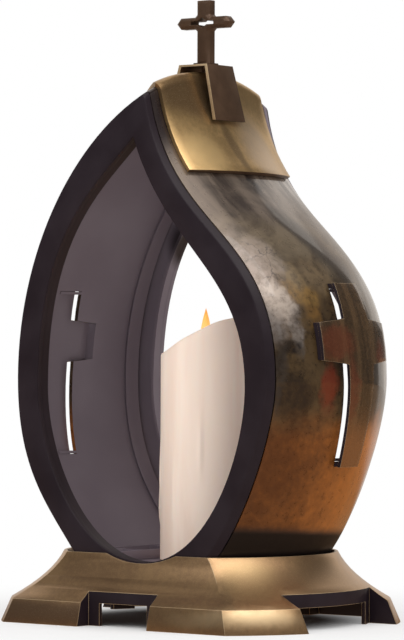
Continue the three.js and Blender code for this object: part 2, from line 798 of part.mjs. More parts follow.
function finialShape() {
  const shape = new THREE.Shape();
  const bar = finialBar / 2;
  const arm = finialArmHeight / 2;
  const place = (x, z) => [crestX + x, finialArmMiddle + z];
  shape.moveTo(crestX - bar, finialFoot);
  shape.lineTo(crestX + bar, finialFoot);
  shape.lineTo(...place(bar, -arm - finialFillet));
  shape.lineTo(...place(bar + finialFillet, -arm));
  shape.lineTo(...place(finialHalfSpan - finialPoint, -arm));
  shape.lineTo(...place(finialHalfSpan, 0));
  shape.lineTo(...place(finialHalfSpan - finialPoint, arm));
  shape.lineTo(...place(bar + finialFillet, arm));
  shape.lineTo(...place(bar, arm + finialFillet));
  shape.lineTo(crestX + bar, finialTop);
  shape.lineTo(crestX - bar, finialTop);
  shape.lineTo(...place(-bar, arm + finialFillet));
  shape.lineTo(...place(-bar - finialFillet, arm));
  shape.lineTo(...place(finialPoint - finialHalfSpan, arm));
  shape.lineTo(...place(-finialHalfSpan, 0));
  shape.lineTo(...place(finialPoint - finialHalfSpan, -arm));
  shape.lineTo(...place(-bar - finialFillet, -arm));
  shape.lineTo(...place(-bar, -arm - finialFillet));
  shape.closePath();
  return shape;
}

function finialCross() {
  const cross = new THREE.ExtrudeGeometry(finialShape(), {
    depth: finialDepth - 2 * finialBevel,
    bevelEnabled: true,
    bevelThickness: finialBevel,
    bevelSize: finialBevel,
    bevelOffset: -finialBevel,
    bevelSegments: 1,
  });
  const bars = solidOf(cross.rotateX(Math.PI / 2).translate(0, finialDepth / 2 - finialBevel, 0));
  const slotShape = new THREE.Shape();
  const slot = finialSlotHeight / 2;
  const corners = [
    [-finialSlotHalfLength, -slot], [-finialDiamond, -slot], [0, -finialDiamond], [finialDiamond, -slot],
    [finialSlotHalfLength, -slot], [finialSlotHalfLength, slot], [finialDiamond, slot],
    [0, finialDiamond], [-finialDiamond, slot], [-finialSlotHalfLength, slot],
  ];
  slotShape.setFromPoints(corners.map(([x, z]) => new THREE.Vector2(crestX + x, finialArmMiddle + z)));
  const slotHole = acrossDepth(slotShape, -finialDepth, finialDepth);
  const collarTop = finialFoot + collarThickness;
  const collar = box(
    [crestX - collarHalfWidth, -collarHalfWidth, finialFoot],
    [crestX + collarHalfWidth, collarHalfWidth, collarTop],
  );
  const pegFoot = capTopAt(crestX) + seatGap;
  const peg = post(crestX, 0, pegRadius, pegFoot, collarTop);
  const boreTop = crestTop + crestScrewGrip + overrun;
  const bore = post(crestX, 0, crestScrewRadius + seatGap, pegFoot - overrun, boreTop);
  return cutBy(joined(bars, collar, peg), slotHole, bore);
}

function crestScrew() {
  const seat = crestPadFoot - seatGap;
  const underside = seat - crestScrewHeadHeight;
  const head = post(crestX, 0, crestScrewHead, underside, seat);
  return head.add(post(crestX, 0, crestScrewRadius, underside, crestTop + crestScrewGrip));
}

// Floor tray and guide frame

function floorTray() {
  const holes = screwPlaces().map(([x, y]) => {
    return post(x, y, trayScrewRadius + 2 * seatGap, 0, footHeight);
  });
  return cutBy(planPlug(trayRadius, shellHalfDepth, bodyBottom, trayTop), ...holes);
}

// Two rails and a stop round the candle, and two outer rails joined to them by ribs
function guideFrame() {
  const inner = candleRadius + guideClearance;
  const outer = inner + guideWall;
  const upright = (left, front, right, back) => box([left, front, candleFoot], [right, back, guideTop]);
  const stop = upright(candleX - outer, inner, candleX + outer, outer);
  const rails = [
    upright(candleX - outer, -guideFront, candleX - inner, outer),
    upright(candleX + inner, -guideFront, candleX + outer, outer),
    upright(-guideSide - guideWall, -guideSideHalfLength, -guideSide, guideSideHalfLength),
    upright(guideSide, -guideSideHalfLength, guideSide + guideWall, guideSideHalfLength),
  ];
  const ribs = [-bossY, bossY].flatMap((y) => [
    upright(-guideSide - guideWall, y - guideWall / 2, candleX - inner, y + guideWall / 2),
    upright(candleX + inner, y - guideWall / 2, guideSide + guideWall, y + guideWall / 2),
  ]);
  const bosses = screwPlaces().map(([x, y]) => post(x, y, bossRadius, candleFoot, guideTop));
  const bores = screwPlaces().map(([x, y]) => {
    return post(x, y, trayScrewRadius + seatGap, 0, trayScrewTip + seatGap);
  });
  return cutBy(joined(stop, ...rails, ...ribs, ...bosses), ...bores);
}

function trayScrew() {
  const seat = recessFloor - deckThickness - seatGap;
  const head = post(0, 0, trayScrewHead, seat - trayScrewHeadHeight, seat);
  return head.add(post(0, 0, trayScrewRadius, seat - trayScrewHeadHeight, trayScrewTip));
}

// Candle, in its own frame: the foot's middle is the zero point

function candleRim(angle) {
  const share = Math.cos(angle - THREE.MathUtils.degToRad(rimBearingAngle));
  const ripple = rimRipple * Math.sin(rimRipples * angle);
  return rimMiddle + rimTiltShare * candleRadius * share - rimSag * share ** 2 + ripple;
}

function candleSleeve() {
  const rings = [];
  const ring = (radius, heightAt) => {
    const points = [];
    for (let i = 0; i < sideFacets; i++) {
      const angle = (2 * Math.PI * i) / sideFacets;
      points.push(new THREE.Vector3(radius * Math.cos(angle), radius * Math.sin(angle), heightAt(angle)));
    }
    return points;
  };
  const lip = candleWall / 2;
  rings.push(ring(candleRadius, () => 0));
  rings.push(ring(candleRadius, (angle) => candleRim(angle) - lip));
  rings.push(ring(candleRadius - lip, candleRim));
  rings.push(ring(candleRadius - candleWall, (angle) => candleRim(angle) - lip));
  rings.push(ring(candleRadius - candleWall - lip, () => poolDepth));
  const body = loft(rings, (p) => new THREE.Vector2(p.x, p.y));
  const inside = candleRadius - candleWall;
  const hollow = post(0, 0, inside, -overrun, poolDepth - poolFloor, sideFacets);
  const wick = post(0, 0, flameStem + seatGap, 0, poolDepth + overrun);
  return cutBy(body, hollow, wick);
}

// Underside of the candle's pool floor, where the flame's flange is held
const flameSeat = poolDepth - poolFloor - seatGap;
const lampFoot = flameSeat - flameFlangeThickness;

function flameTip() {
  const height = flameTop - poolDepth;
  const outline = flameOutlineShares.map(([across, up]) => [flameRadius * across, poolDepth + height * up]);
  const profile = [
    [0, lampFoot], [flameFlange, lampFoot], [flameFlange, flameSeat], [flameStem, flameSeat],
    [flameStem, poolDepth], ...outline, [0, flameTop],
  ];
  const bore = post(0, 0, flameBore, lampFoot - overrun, flameSeat + flameBoreHeight);
  return turned(profile, roundFacets).subtract(bore);
}

function ledLamp() {
  const shoulder = lampFoot + lampHeight - lampRadius;
  const bevel = lampRadius * Math.SQRT1_2;
  return turned([
    [0, lampFoot], [lampRadius, lampFoot], [lampRadius, shoulder],
    [bevel, shoulder + bevel], [0, shoulder + lampRadius],
  ], roundFacets);
}

function batteryPlaces() {
  return [-batterySpacing / 2, batterySpacing / 2];
}

const batteryFoot = coverThickness + 2 * seatGap + springPlate + springHeight + seatGap;
const batteryTop = batteryFoot + batteryLength + batteryNub;

function batteryCase() {
  const roof = batteryTop + seatGap + springPlate + seatGap;
  const drum = post(0, 0, caseRadius, 0, roof + caseRoof, sideFacets);
  const column = post(0, 0, postRadius, roof, lampFoot - seatGap);
  const bays = batteryPlaces().map((x) => {
    return post(x, 0, batteryRadius + batteryClearance, 0, roof);
  });
  const coverSeat = post(0, 0, coverRadius + seatGap, -overrun, coverThickness + seatGap, sideFacets);
  const bridge = box(
    [-batterySpacing / 2, -bridgeWidth / 2, 0],
    [batterySpacing / 2, bridgeWidth / 2, roof],
  );
  const slotHalf = (switchLength + switchTravel) / 2 + seatGap;
  const slot = box(
    [-slotHalf, -switchRing - switchWidth / 2 - seatGap, -overrun],
    [slotHalf, -switchRing + switchWidth / 2 + seatGap, switchHeight + 2 * seatGap],
  );
  return cutBy(joined(drum, column), ...bays, coverSeat, bridge, slot);
}

function battery() {
  const shoulder = batteryFoot + batteryLength;
  const end = batteryRadius - batteryBead;
  return turned([
    [0, batteryFoot], [end, batteryFoot], [batteryRadius, batteryFoot + batteryBead],
    [batteryRadius, shoulder - batteryBead], [end, shoulder], [batteryNubRadius, shoulder],
    [batteryNubRadius, shoulder + batteryNub], [0, shoulder + batteryNub],
  ], roundFacets);
}

function contactSprings() {
  const foot = coverThickness + 2 * seatGap;
  const plate = box(
    [-batterySpacing / 2 - springRadius, -springRadius, foot],
    [batterySpacing / 2 + springRadius, springRadius, foot + springPlate],
  );
  const cones = batteryPlaces().map((x) => {
    const cone = new THREE.CylinderGeometry(springRadius / 2, springRadius, springHeight, roundFacets);
    const lift = foot + springPlate + springHeight / 2 - seatGap / 2;
    return solidOf(cone.rotateX(Math.PI / 2).translate(x, 0, lift));
  });
  return joined(plate, ...cones);
}

function contactBridge() {
  const foot = batteryTop + seatGap;
  const reach = batterySpacing / 2 + springRadius;
  return box([-reach, -springRadius, foot], [reach, springRadius, foot + springPlate]);
}

function circuitBoard() {
  const foot = batteryTop + 2 * seatGap + springPlate + caseRoof + seatGap;
  return post(0, 0, boardRadius + postRadius, foot, foot + boardThickness)
    .subtract(post(0, 0, postRadius + seatGap, foot - overrun, foot + 2 * overrun));
}

function batteryCover() {
  const disc = post(0, 0, coverRadius, coverGripHeight, coverThickness, sideFacets);
  const grip = box(
    [-coverRadius / 2, -coverGripWidth / 2, 0],
    [coverRadius / 2, coverGripWidth / 2, coverThickness],
  );
  return disc.add(grip);
}

function switchSlider() {
  const foot = seatGap;
  const nub = switchLength / 3;
  const plate = box(
    [-switchLength / 2, -switchRing - switchWidth / 2, foot + switchHeight / 2],
    [switchLength / 2, -switchRing + switchWidth / 2, foot + switchHeight],
  );
  const knob = box(
    [-nub / 2, -switchRing - switchWidth / 4, foot],
    [nub / 2, -switchRing + switchWidth / 4, foot + switchHeight],
  );
  return plate.add(knob).translate([-switchTravel / 2, 0, 0]);
}

// Assembly

const lantern = new THREE.Group();

const foot = new THREE.Group();
foot.add(mesh('base_shell', baseShell(), footMetal));
foot.add(mesh('floor_tray', floorTray(), trayPlastic));
foot.add(mesh('guide_frame', guideFrame(), trayPlastic));
screwPlaces().forEach(([x, y], i) => {
  const screw = mesh(`tray_screw_${i + 1}`, trayScrew(), steel);
  screw.position.set(x, y, 0);
  foot.add(screw);
});
lantern.add(foot);

const body = new THREE.Group();
body.add(mesh('left_shell', sideShell(-1), shellLacquer));
body.add(mesh('right_shell', sideShell(1), shellLacquer));
body.add(mesh('front_frame', frontFrame(), frameLacquer));
body.add(mesh('back_frame', mirroredInDepth(frontFrame()), frameLacquer));
body.add(mesh('left_cross_plate', crossPlateSolid(-1), crossLacquer));
body.add(mesh('right_cross_plate', crossPlateSolid(1), crossLacquer));
lantern.add(body);

const lid = new THREE.Group();
lid.add(mesh('ridge_cap', ridgeCap(), footMetal));
lid.add(mesh('crest_block', crestBlock(), crestBronze));
lid.add(mesh('finial_cross', finialCross(), crestBronze));
lid.add(mesh('crest_screw', crestScrew(), steel));
lantern.add(lid);

const candle = new THREE.Group();
candle.position.set(candleX, 0, candleFoot);
candle.add(mesh('candle_sleeve', candleSleeve(), waxIvory));
candle.add(mesh('flame_tip', flameTip(), flameAmber));
candle.add(mesh('led_lamp', ledLamp(), lampPlastic));
candle.add(mesh('battery_case', batteryCase(), gearPlastic));
batteryPlaces().forEach((x, i) => {
  const cell = mesh(`battery_${i + 1}`, battery(), batteryJacket);
  cell.position.x = x;
  candle.add(cell);
});
candle.add(mesh('contact_springs', contactSprings(), steel));
candle.add(mesh('contact_bridge', contactBridge(), steel));
candle.add(mesh('circuit_board', circuitBoard(), boardGreen));
candle.add(mesh('battery_cover', batteryCover(), gearPlastic));
candle.add(mesh('switch_slider', switchSlider(), switchBlack));
lantern.add(candle);

export default lantern;
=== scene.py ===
# Grave lantern: finished pieces and finishes, built round the lantern's CAD frame.
# Metres, +Z up. The open front looks along -Y, and the lantern's right side is +X.

import json
import math

import bpy
from mathutils import Matrix, Vector

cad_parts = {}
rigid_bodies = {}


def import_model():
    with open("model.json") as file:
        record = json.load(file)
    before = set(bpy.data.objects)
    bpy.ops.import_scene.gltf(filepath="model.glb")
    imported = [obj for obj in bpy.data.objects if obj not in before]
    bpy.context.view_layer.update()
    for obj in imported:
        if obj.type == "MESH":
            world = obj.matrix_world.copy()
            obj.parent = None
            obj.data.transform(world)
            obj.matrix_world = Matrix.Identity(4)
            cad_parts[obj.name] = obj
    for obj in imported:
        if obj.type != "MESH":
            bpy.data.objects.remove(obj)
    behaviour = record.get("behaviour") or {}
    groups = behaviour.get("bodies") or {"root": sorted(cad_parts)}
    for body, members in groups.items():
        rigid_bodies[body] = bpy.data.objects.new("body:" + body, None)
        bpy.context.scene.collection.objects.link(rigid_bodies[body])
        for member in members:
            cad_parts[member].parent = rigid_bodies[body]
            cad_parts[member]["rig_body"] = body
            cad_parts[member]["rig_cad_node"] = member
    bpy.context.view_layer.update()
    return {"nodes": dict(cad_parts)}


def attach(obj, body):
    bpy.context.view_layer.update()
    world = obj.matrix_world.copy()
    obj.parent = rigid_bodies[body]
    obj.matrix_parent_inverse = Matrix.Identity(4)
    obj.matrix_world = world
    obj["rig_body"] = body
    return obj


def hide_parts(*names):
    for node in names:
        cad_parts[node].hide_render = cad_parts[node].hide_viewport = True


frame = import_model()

# Studio
# The camera stands to the right of the lantern's front, two metres off and level
# with its middle. A pale floor runs into a white surround.

view_azimuth = math.radians(36.7)
view_elevation = math.radians(-0.49)
view_roll = math.radians(0.22)
view_distance = 2.1
view_middle = Vector((0, 0, 0.1798))

backwards = Vector((
    math.sin(view_azimuth) * math.cos(view_elevation),
    -math.cos(view_azimuth) * math.cos(view_elevation),
    math.sin(view_elevation),
))
level = Vector((math.cos(view_azimuth), math.sin(view_azimuth), 0))
upright = backwards.cross(level)
across = level * math.cos(view_roll) + upright * math.sin(view_roll)
upwards = upright * math.cos(view_roll) - level * math.sin(view_roll)
bpy.ops.object.camera_add()
camera = bpy.context.object
camera.name = "camera"
camera.data.lens = 196.9
camera.data.sensor_width = 36
camera.matrix_world = (
    Matrix.Translation(view_middle + backwards * view_distance)
    @ Matrix((across, upwards, backwards)).transposed().to_4x4()
)
bpy.context.scene.camera = camera
bpy.context.scene.view_settings.view_transform = "Standard"


class Field:
    """A socket in a material. Sums and products of fields add their Math nodes."""

    def __init__(self, tree, socket=None):
        self.tree = tree
        self.socket = socket

    def node(self, kind, settings, feeds, output=0):
        """Adds a node, sets it up, feeds its sockets and gives back one output."""
        node = self.tree.nodes.new("ShaderNode" + kind)
        for name, value in settings.items():
            setattr(node, name, value)
        for name, value in feeds.items():
            if isinstance(value, Field):
                self.tree.links.new(value.socket, node.inputs[name])
            else:
                node.inputs[name].default_value = value
        return Field(self.tree, node.outputs[output])

    def maths(self, how, first, second):
        return self.node("Math", {"operation": how}, {0: first, 1: second})

    def __add__(self, other):
        return self.maths("ADD", self, other)

    def __radd__(self, other):
        return self.maths("ADD", other, self)

    def __sub__(self, other):
        return self.maths("SUBTRACT", self, other)

    def __rsub__(self, other):
        return self.maths("SUBTRACT", other, self)

    def __mul__(self, other):
        return self.maths("MULTIPLY", self, other)

    def __rmul__(self, other):
        return self.maths("MULTIPLY", other, self)

    def greater(self, other):
        return self.maths("MAXIMUM", self, other)

    def step(self, start, end):
        """0 below start, 1 above end, and a soft rise between them."""
        settings = {"interpolation_type": "SMOOTHSTEP"}
        return self.node("MapRange", settings, {0: self, 1: start, 2: end, 3: 0.0, 4: 1.0})

    def mix(self, first, second):
        """Mixes two colours by this field."""
        first = (*first, 1) if isinstance(first, tuple) else first
        second = (*second, 1) if isinstance(second, tuple) else second
        return self.node("Mix", {"data_type": "RGBA"}, {0: self, 6: first, 7: second}, 2)

    def part(self, axis):
        """One coordinate of this place or direction."""
        return self.node("SeparateXYZ", {}, {0: self}, axis)

    def length(self):
        return self.node("VectorMath", {"operation": "LENGTH"}, {0: self}, "Value")

    def noise(self, scale, detail=3.0, roughness=0.5, distortion=0.0):
        """Cloudy pattern at this place, from 0 to 1."""
        return self.node("TexNoise", {}, {
            "Vector": self, "Scale": scale, "Detail": detail,
            "Roughness": roughness, "Distortion": distortion,
        })

    def scaled(self, scale):
        return self.node("Mapping", {}, {"Vector": self, "Scale": scale})

    def spot(self, centre, radii):
        """1 inside an oval spot, falling softly to 0 outside it. Sizes in millimetres."""
        near = self.node("Mapping", {"vector_type": "TEXTURE"}, {
            "Vector": self, "Location": [v * 0.001 for v in centre],
            "Scale": [v * 0.001 for v in radii],
        })
        return 1 - near.length().step(0.45, 1.15)

    def swirled(self, scale, reach):
        """This place pushed about by noise, so that spots get ragged edges."""
        feeds = {"Vector": self, "Scale": scale, "Detail": 5.0, "Roughness": 0.6}
        push = self.node("TexNoise", {}, feeds, 1)
        moved = self.node(
            "VectorMath", {"operation": "MULTIPLY_ADD"}, {0: push, 1: (reach,) * 3, 2: self},
        )
        return self.node(
            "VectorMath", {"operation": "SUBTRACT"}, {0: moved, 1: (reach / 2,) * 3},
        )

    def bumped(self, strength, distance):
        """Surface direction with this field as a fine relief."""
        return self.node("Bump", {}, {"Strength": strength, "Distance": distance, "Height": self})


def finish_of(name):
    """A new material, its main shader's sockets and the place on the piece."""
    material = bpy.data.materials.new(name)
    material.use_nodes = True
    shader = material.node_tree.nodes["Principled BSDF"]
    place = Field(material.node_tree).node("TexCoord", {}, {}, "Object")
    return material, shader.inputs, place


def feed(inputs, **values):
    """Links fields into the shader's sockets, or sets them."""
    for name, value in values.items():
        socket = inputs[name.replace("_", " ")]
        if isinstance(value, Field):
            value.tree.links.new(value.socket, socket)
        else:
            socket.default_value = value


# White where it is seen. In reflections it is dim, with a bright panel to the left
# behind the lantern and a soft bright box over it.
surround = bpy.data.worlds.new("surround")
bpy.context.scene.world = surround
surround.use_nodes = True
sky = Field(surround.node_tree)
direction = sky.node("TexCoord", {}, {}, "Generated")
panel = (1 - direction.part("X").step(0.0, 0.03)) * direction.part("Y").step(0.2, 0.4)
over_box = {0: direction, 1: (0.50, -0.08, 0.862)}
softbox = sky.node("VectorMath", {"operation": "DOT_PRODUCT"}, over_box, "Value").step(0.80, 0.96)
mirrored_light = softbox.greater(panel * 0.72) + 0.05 + direction.part("Z").step(0.0, 1.0) * 0.11
warm_light = sky.node("CombineXYZ", {}, {
    0: mirrored_light, 1: mirrored_light * 0.93, 2: mirrored_light * 0.86,
})
mirrored = sky.node("LightPath", {}, {}, "Is Glossy Ray")
lighting = mirrored.mix((0.80, 0.79, 0.78), warm_light)
seen = sky.node("LightPath", {}, {}, "Is Camera Ray")
seen_through = sky.node("LightPath", {}, {}, "Is Transmission Ray")
backdrop = seen.greater(seen_through).mix(lighting, (1.0, 1.0, 1.0))
surround.node_tree.links.new(backdrop.socket, surround.node_tree.nodes["Background"].inputs[0])

# Matt white paper with the lantern's shade round the foot. It turns into the surround's
# white further off. In reflections it is a dim warm brown, paler under the panel.
bpy.ops.mesh.primitive_circle_add(vertices=96, radius=4, fill_type="NGON")
floor = bpy.context.object
floor.name = "floor"
paper = bpy.data.materials.new("white_paper")
paper.use_nodes = True
spread = Field(paper.node_tree).node("TexCoord", {}, {}, "Object")
distance = spread.length()
far_off = distance.step(0.07, 0.125) * 0.5 + distance.step(0.125, 0.36) * 0.5
matt = spread.node("BsdfDiffuse", {}, {"Color": (0.9, 0.9, 0.9, 1)})
white = spread.node("Emission", {}, {"Color": (1, 1, 1, 1), "Strength": 1.0})
warm = spread.node("Emission", {}, {"Color": (0.42, 0.24, 0.12, 1), "Strength": 0.62})
pale = spread.node("Emission", {}, {"Color": (0.95, 0.86, 0.78, 1), "Strength": 0.62})
under_panel = (1 - spread.part("X").step(0.0, 0.2)) * spread.part("Y").step(0.4, 0.8)
seen_floor = spread.node("MixShader", {}, {0: far_off, 1: matt, 2: white})
mirrored_floor = spread.node("MixShader", {}, {0: under_panel, 1: warm, 2: pale})
mirrored = spread.node("LightPath", {}, {}, "Is Glossy Ray")
sheet = spread.node("MixShader", {}, {0: mirrored, 1: seen_floor, 2: mirrored_floor})
output = paper.node_tree.nodes["Material Output"]
paper.node_tree.links.new(sheet.socket, output.inputs["Surface"])
floor.data.materials.append(paper)

light_aim = Vector((0, 0, 0.15))
for name, place, size, power in (
    ("key_box", (0.75, -0.25, 1.45), 0.9, 5.0),
    ("front_fill", (-0.2, -1.3, 1.5), 1.2, 6.0),
):
    bpy.ops.object.light_add(type="AREA", location=place)
    light = bpy.context.object
    light.name = name
    light.data.size = size
    light.data.energy = power
    light.rotation_euler = (Vector(place) - light_aim).to_track_quat("Z", "Y").to_euler()

# Foot
# A thin-walled moulding in gold-bronze lacquer. Its round sides are cut off flat at
# the front and back, it flares out to four corner feet, and each side has a notch
# with a low arch under it.

MM = 0.001
foot_height = 42
foot_shoulder = 14
# Radius and half depth at the ground, the shoulder and the top.
foot_ground = (119.5, 87)
foot_waist = (113.5, 83.5)
foot_top = (82, 63.5)
foot_wall = 2.6
flare_hollow = 4.5
hollow_height = 30.5
notch_half = 25.5
notch_depth = 76
side_notch_half = 45
side_notch_radius = 101.7
arch_half = 17.5
side_arch_half = 34
arch_height = 13.3
tray_seat = (80, 62.3)
tray_seat_height = 33
dip_radius = 65
dip_middle = (3, 67, 101.8)
tray_screw_x = 45
tray_screw_y = 22
screw_hole = 1.8
past_foot = 130
circle_steps = 24


def alone(piece, mode="OBJECT"):
    """Leaves one piece selected and active, in a mode."""
    if bpy.context.mode != "OBJECT":
        bpy.ops.object.mode_set(mode="OBJECT")
    bpy.ops.object.select_all(action="DESELECT")
    piece.select_set(True)
    bpy.context.view_layer.objects.active = piece
    bpy.ops.object.mode_set(mode=mode)


def outline(knots, closed, steps):
    """Chain of edges along a Bezier line, from rows of place, handle before, handle after."""
    bpy.ops.object.select_all(action="DESELECT")
    bpy.ops.curve.primitive_bezier_curve_add()
    line = bpy.context.object
    spline = line.data.splines[0]
    spline.bezier_points.add(len(knots) - 2)
    for point, (place, before, after) in zip(spline.bezier_points, knots):
        point.handle_left_type = "FREE"
        point.handle_right_type = "FREE"
        point.co = Vector(place) * MM
        point.handle_left = Vector(before) * MM
        point.handle_right = Vector(after) * MM
    spline.use_cyclic_u = closed
    spline.resolution_u = steps
    bpy.ops.object.convert(target="MESH")
    return bpy.context.object


def pick(piece, wanted):
    """Selects a piece's points that answer a question, for edit mode."""
    for edge in piece.data.edges:
        edge.select = False
    for face in piece.data.polygons:
        face.select = False
    for point in piece.data.vertices:
        point.select = wanted(point)


def lofted(lines, capped):
    """Joins outlines of equally many points, bridges each to the next and caps the ends."""
    piece = lines[0]
    count = len(piece.data.vertices)
    for line in lines[1:]:
        alone(piece)
        line.select_set(True)
        bpy.ops.object.join()
    bpy.context.tool_settings.mesh_select_mode = (True, False, False)
    for row in range(1, len(lines)):
        alone(piece)
        pick(piece, lambda point: (row - 1) * count <= point.index < (row + 1) * count)
        bpy.ops.object.mode_set(mode="EDIT")
        bpy.ops.mesh.bridge_edge_loops()
        bpy.ops.object.mode_set(mode="OBJECT")
    for row in (0, len(lines) - 1) if capped else ():
        pick(piece, lambda point: row * count <= point.index < (row + 1) * count)
        bpy.ops.object.mode_set(mode="EDIT")
        bpy.ops.mesh.edge_face_add()
        bpy.ops.object.mode_set(mode="OBJECT")
    alone(piece, "EDIT")
    bpy.ops.mesh.select_all(action="SELECT")
    bpy.ops.mesh.normals_make_consistent(inside=False)
    bpy.ops.object.mode_set(mode="OBJECT")
    return piece


def block(low, high):
    """Box between two corners, as a cutting tool or a start."""
    bpy.ops.object.select_all(action="DESELECT")
    middle = (Vector(low) + Vector(high)) * MM / 2
    size = (Vector(high) - Vector(low)) * MM
    bpy.ops.mesh.primitive_cube_add(size=1, location=middle, scale=size)
    bpy.ops.object.transform_apply()
    return bpy.context.object


def drum(x, y, radius, low, high, sides=96):
    """Upright cylinder, as a cutting tool or a start."""
    bpy.ops.object.select_all(action="DESELECT")
    place = Vector((x, y, (low + high) / 2)) * MM
    bpy.ops.mesh.primitive_cylinder_add(
        vertices=sides, radius=radius * MM, depth=(high - low) * MM, location=place,
    )
    bpy.ops.object.transform_apply()
    return bpy.context.object


def apply(piece, kind, **settings):
    """Adds a modifier to a piece and applies it."""
    alone(piece)
    modifier = piece.modifiers.new("shape", kind)
    for name, value in settings.items():
        setattr(modifier, name, value)
    bpy.ops.object.modifier_apply(modifier=modifier.name)


def carve(piece, tool, how="DIFFERENCE"):
    """Cuts a piece with a tool, or joins them, or keeps what they share."""
    apply(piece, "BOOLEAN", operation=how, object=tool, solver="EXACT")
    bpy.data.objects.remove(tool)


def room_for(piece, count):
    """Makes room on a piece for a number of finishes."""
    while len(piece.data.materials) < count:
        piece.data.materials.append(None)


def faced(piece, finish, wanted=None):
    """Gives all of a piece's faces, or those that answer a question, one of its finishes."""
    room_for(piece, finish + 1)
    for face in piece.data.polygons:
        if wanted is None or wanted(face):
            face.material_index = finish


def smoothed(piece, angle=30):
    alone(piece)
    bpy.ops.object.shade_smooth_by_angle(angle=math.radians(angle))


def round_edges(piece, width, segments=2, angle=35, edge_finish=-1, shortest=0.02):
    """Drops a piece's shortest edges, rounds its sharp ones and smooths its curved faces."""
    room_for(piece, edge_finish + 1)
    alone(piece, "EDIT")
    bpy.ops.mesh.select_all(action="SELECT")
    bpy.ops.mesh.remove_doubles(threshold=shortest * MM)
    bpy.ops.mesh.dissolve_limited(angle_limit=math.radians(0.5))
    bpy.ops.object.mode_set(mode="OBJECT")
    apply(
        piece, "BEVEL", width=width * MM, segments=segments,
        limit_method="ANGLE", angle_limit=math.radians(angle), material=edge_finish,
    )
    smoothed(piece)


def keep(piece, name, node, body, slot, *materials):
    """Names a finished piece, gives it its finishes and puts it in its node's place."""
    piece.name = name
    piece.data.name = name
    room_for(piece, len(materials))
    for i, material in enumerate(materials):
        piece.data.materials[i] = material
    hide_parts(node)
    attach(piece, body)


def foot_size(height, inset):
    """Radius and half depth of the foot at a height."""
    if height <= foot_shoulder:
        share = height / foot_shoulder
        return [a + (b - a) * share - inset for a, b in zip(foot_ground, foot_waist)]
    climb = (height - foot_shoulder) / (foot_height - foot_shoulder)
    hollow = flare_hollow * 4 * climb * (1 - climb)
    return [a + (b - a) * climb - hollow - inset for a, b in zip(foot_waist, foot_top)]


def cut_circle(radius, half_depth, height):
    """Outline of a circle cut off flat at the front and back."""
    corner = math.asin(half_depth / radius)
    x = radius * math.cos(corner)
    y = half_depth
    reach = 4 / 3 * math.tan(corner / 2) * radius
    hx = reach * math.sin(corner)
    hy = reach * math.cos(corner)
    z = height
    return outline([
        ((x, -y, z), (x / 3, -y, z), (x + hx, -y + hy, z)),
        ((x, y, z), (x + hx, y - hy, z), (x / 3, y, z)),
        ((-x, y, z), (-x / 3, y, z), (-x - hx, y - hy, z)),
        ((-x, -y, z), (-x - hx, -y + hy, z), (-x / 3, -y, z)),
    ], True, circle_steps)


def foot_loft(inset, heights):
    return lofted([cut_circle(*foot_size(max(z, 0), inset), z) for z in heights], True)


def notch_tool(inset, low, top, side_top):
    """Tool for the four notches, or for the hollow's faces that stand off them."""
    half = notch_half + inset
    depth = notch_depth - inset
    side_half = side_notch_half + inset
    tool = block((-half, -past_foot, low), (half, -depth, top))
    carve(tool, block((-half, depth, low), (half, past_foot, top)), "UNION")
    sides = block((-past_foot, -side_half, low), (past_foot, side_half, side_top))
    carve(sides, drum(0, 0, side_notch_radius - inset, -10, 60, 160))
    carve(tool, sides, "UNION")
    return tool


flare_step = (foot_height - foot_shoulder) / 8
flare = [foot_shoulder + flare_step * i for i in range(1, 9)]
foot = foot_loft(0, [0, foot_shoulder, *flare])
notches = notch_tool(0, -2, foot_height, foot_height + 0.5)
hollow = foot_loft(foot_wall, [-2, foot_shoulder, *flare[:4], hollow_height])
carve(hollow, notch_tool(foot_wall, -4, foot_height + 2, foot_height + 2))
arch = block((-arch_half, -past_foot, -2), (arch_half, past_foot, arch_height))
side_arch = block((-past_foot, -side_arch_half, -2), (past_foot, side_arch_half, arch_height))
# The hollow's, notches' and arches' faces take the near-black lacquer as painted shade.
room_for(foot, 3)
for tool in (hollow, notches, arch, side_arch):
    faced(tool, 2)
    carve(foot, tool)
carve(foot, lofted([cut_circle(*tray_seat, z) for z in (tray_seat_height, 50)], True))
for front in (-1, 1):
    dip = drum(0, 0, dip_radius, -5, 5, 200)
    x, y, z = dip_middle
    place = Matrix.Translation(Vector((x, front * y, z)) * MM)
    dip.data.transform(place @ Matrix.Rotation(math.pi / 2, 4, "X"))
    carve(foot, dip)
for x in (-tray_screw_x, tray_screw_x):
    for y in (-tray_screw_y, tray_screw_y):
        carve(foot, drum(x, y, screw_hole, 20, foot_height, 32))
# The foot's rounded edges take the paler gold as a painted highlight.
round_edges(foot, 0.45, edge_finish=1)


def gold_bronze(name, dark, pale, fleck, spots=(), metallic=0.9):
    """Gold-bronze metallic lacquer with fine flakes, soft clouds and spots of painted highlight
    and shade.
    """
    material, inputs, place = finish_of(name)
    swirl = place.swirled(30, 0.012)
    flakes = place.noise(2200, 2.0)
    grain = place.noise(420, 3.0, 0.6)
    clouds = place.noise(26, 4.0, 0.55, 0.6)
    colour = (clouds * 0.7 + grain * 0.3).step(0.36, 0.62).mix(dark, pale)
    for centre, radii, tint, strength in spots:
        colour = (swirl.spot(centre, radii) * strength).mix(colour, tint)
    colour = (flakes.step(0.56, 0.70) * 0.35).mix(colour, fleck)
    feed(
        inputs, Base_Color=colour, Metallic=metallic, Roughness=0.25 + grain * 0.14,
        Normal=(flakes * 0.5 + grain * 0.5).bumped(0.22, 0.0002),
    )
    return material
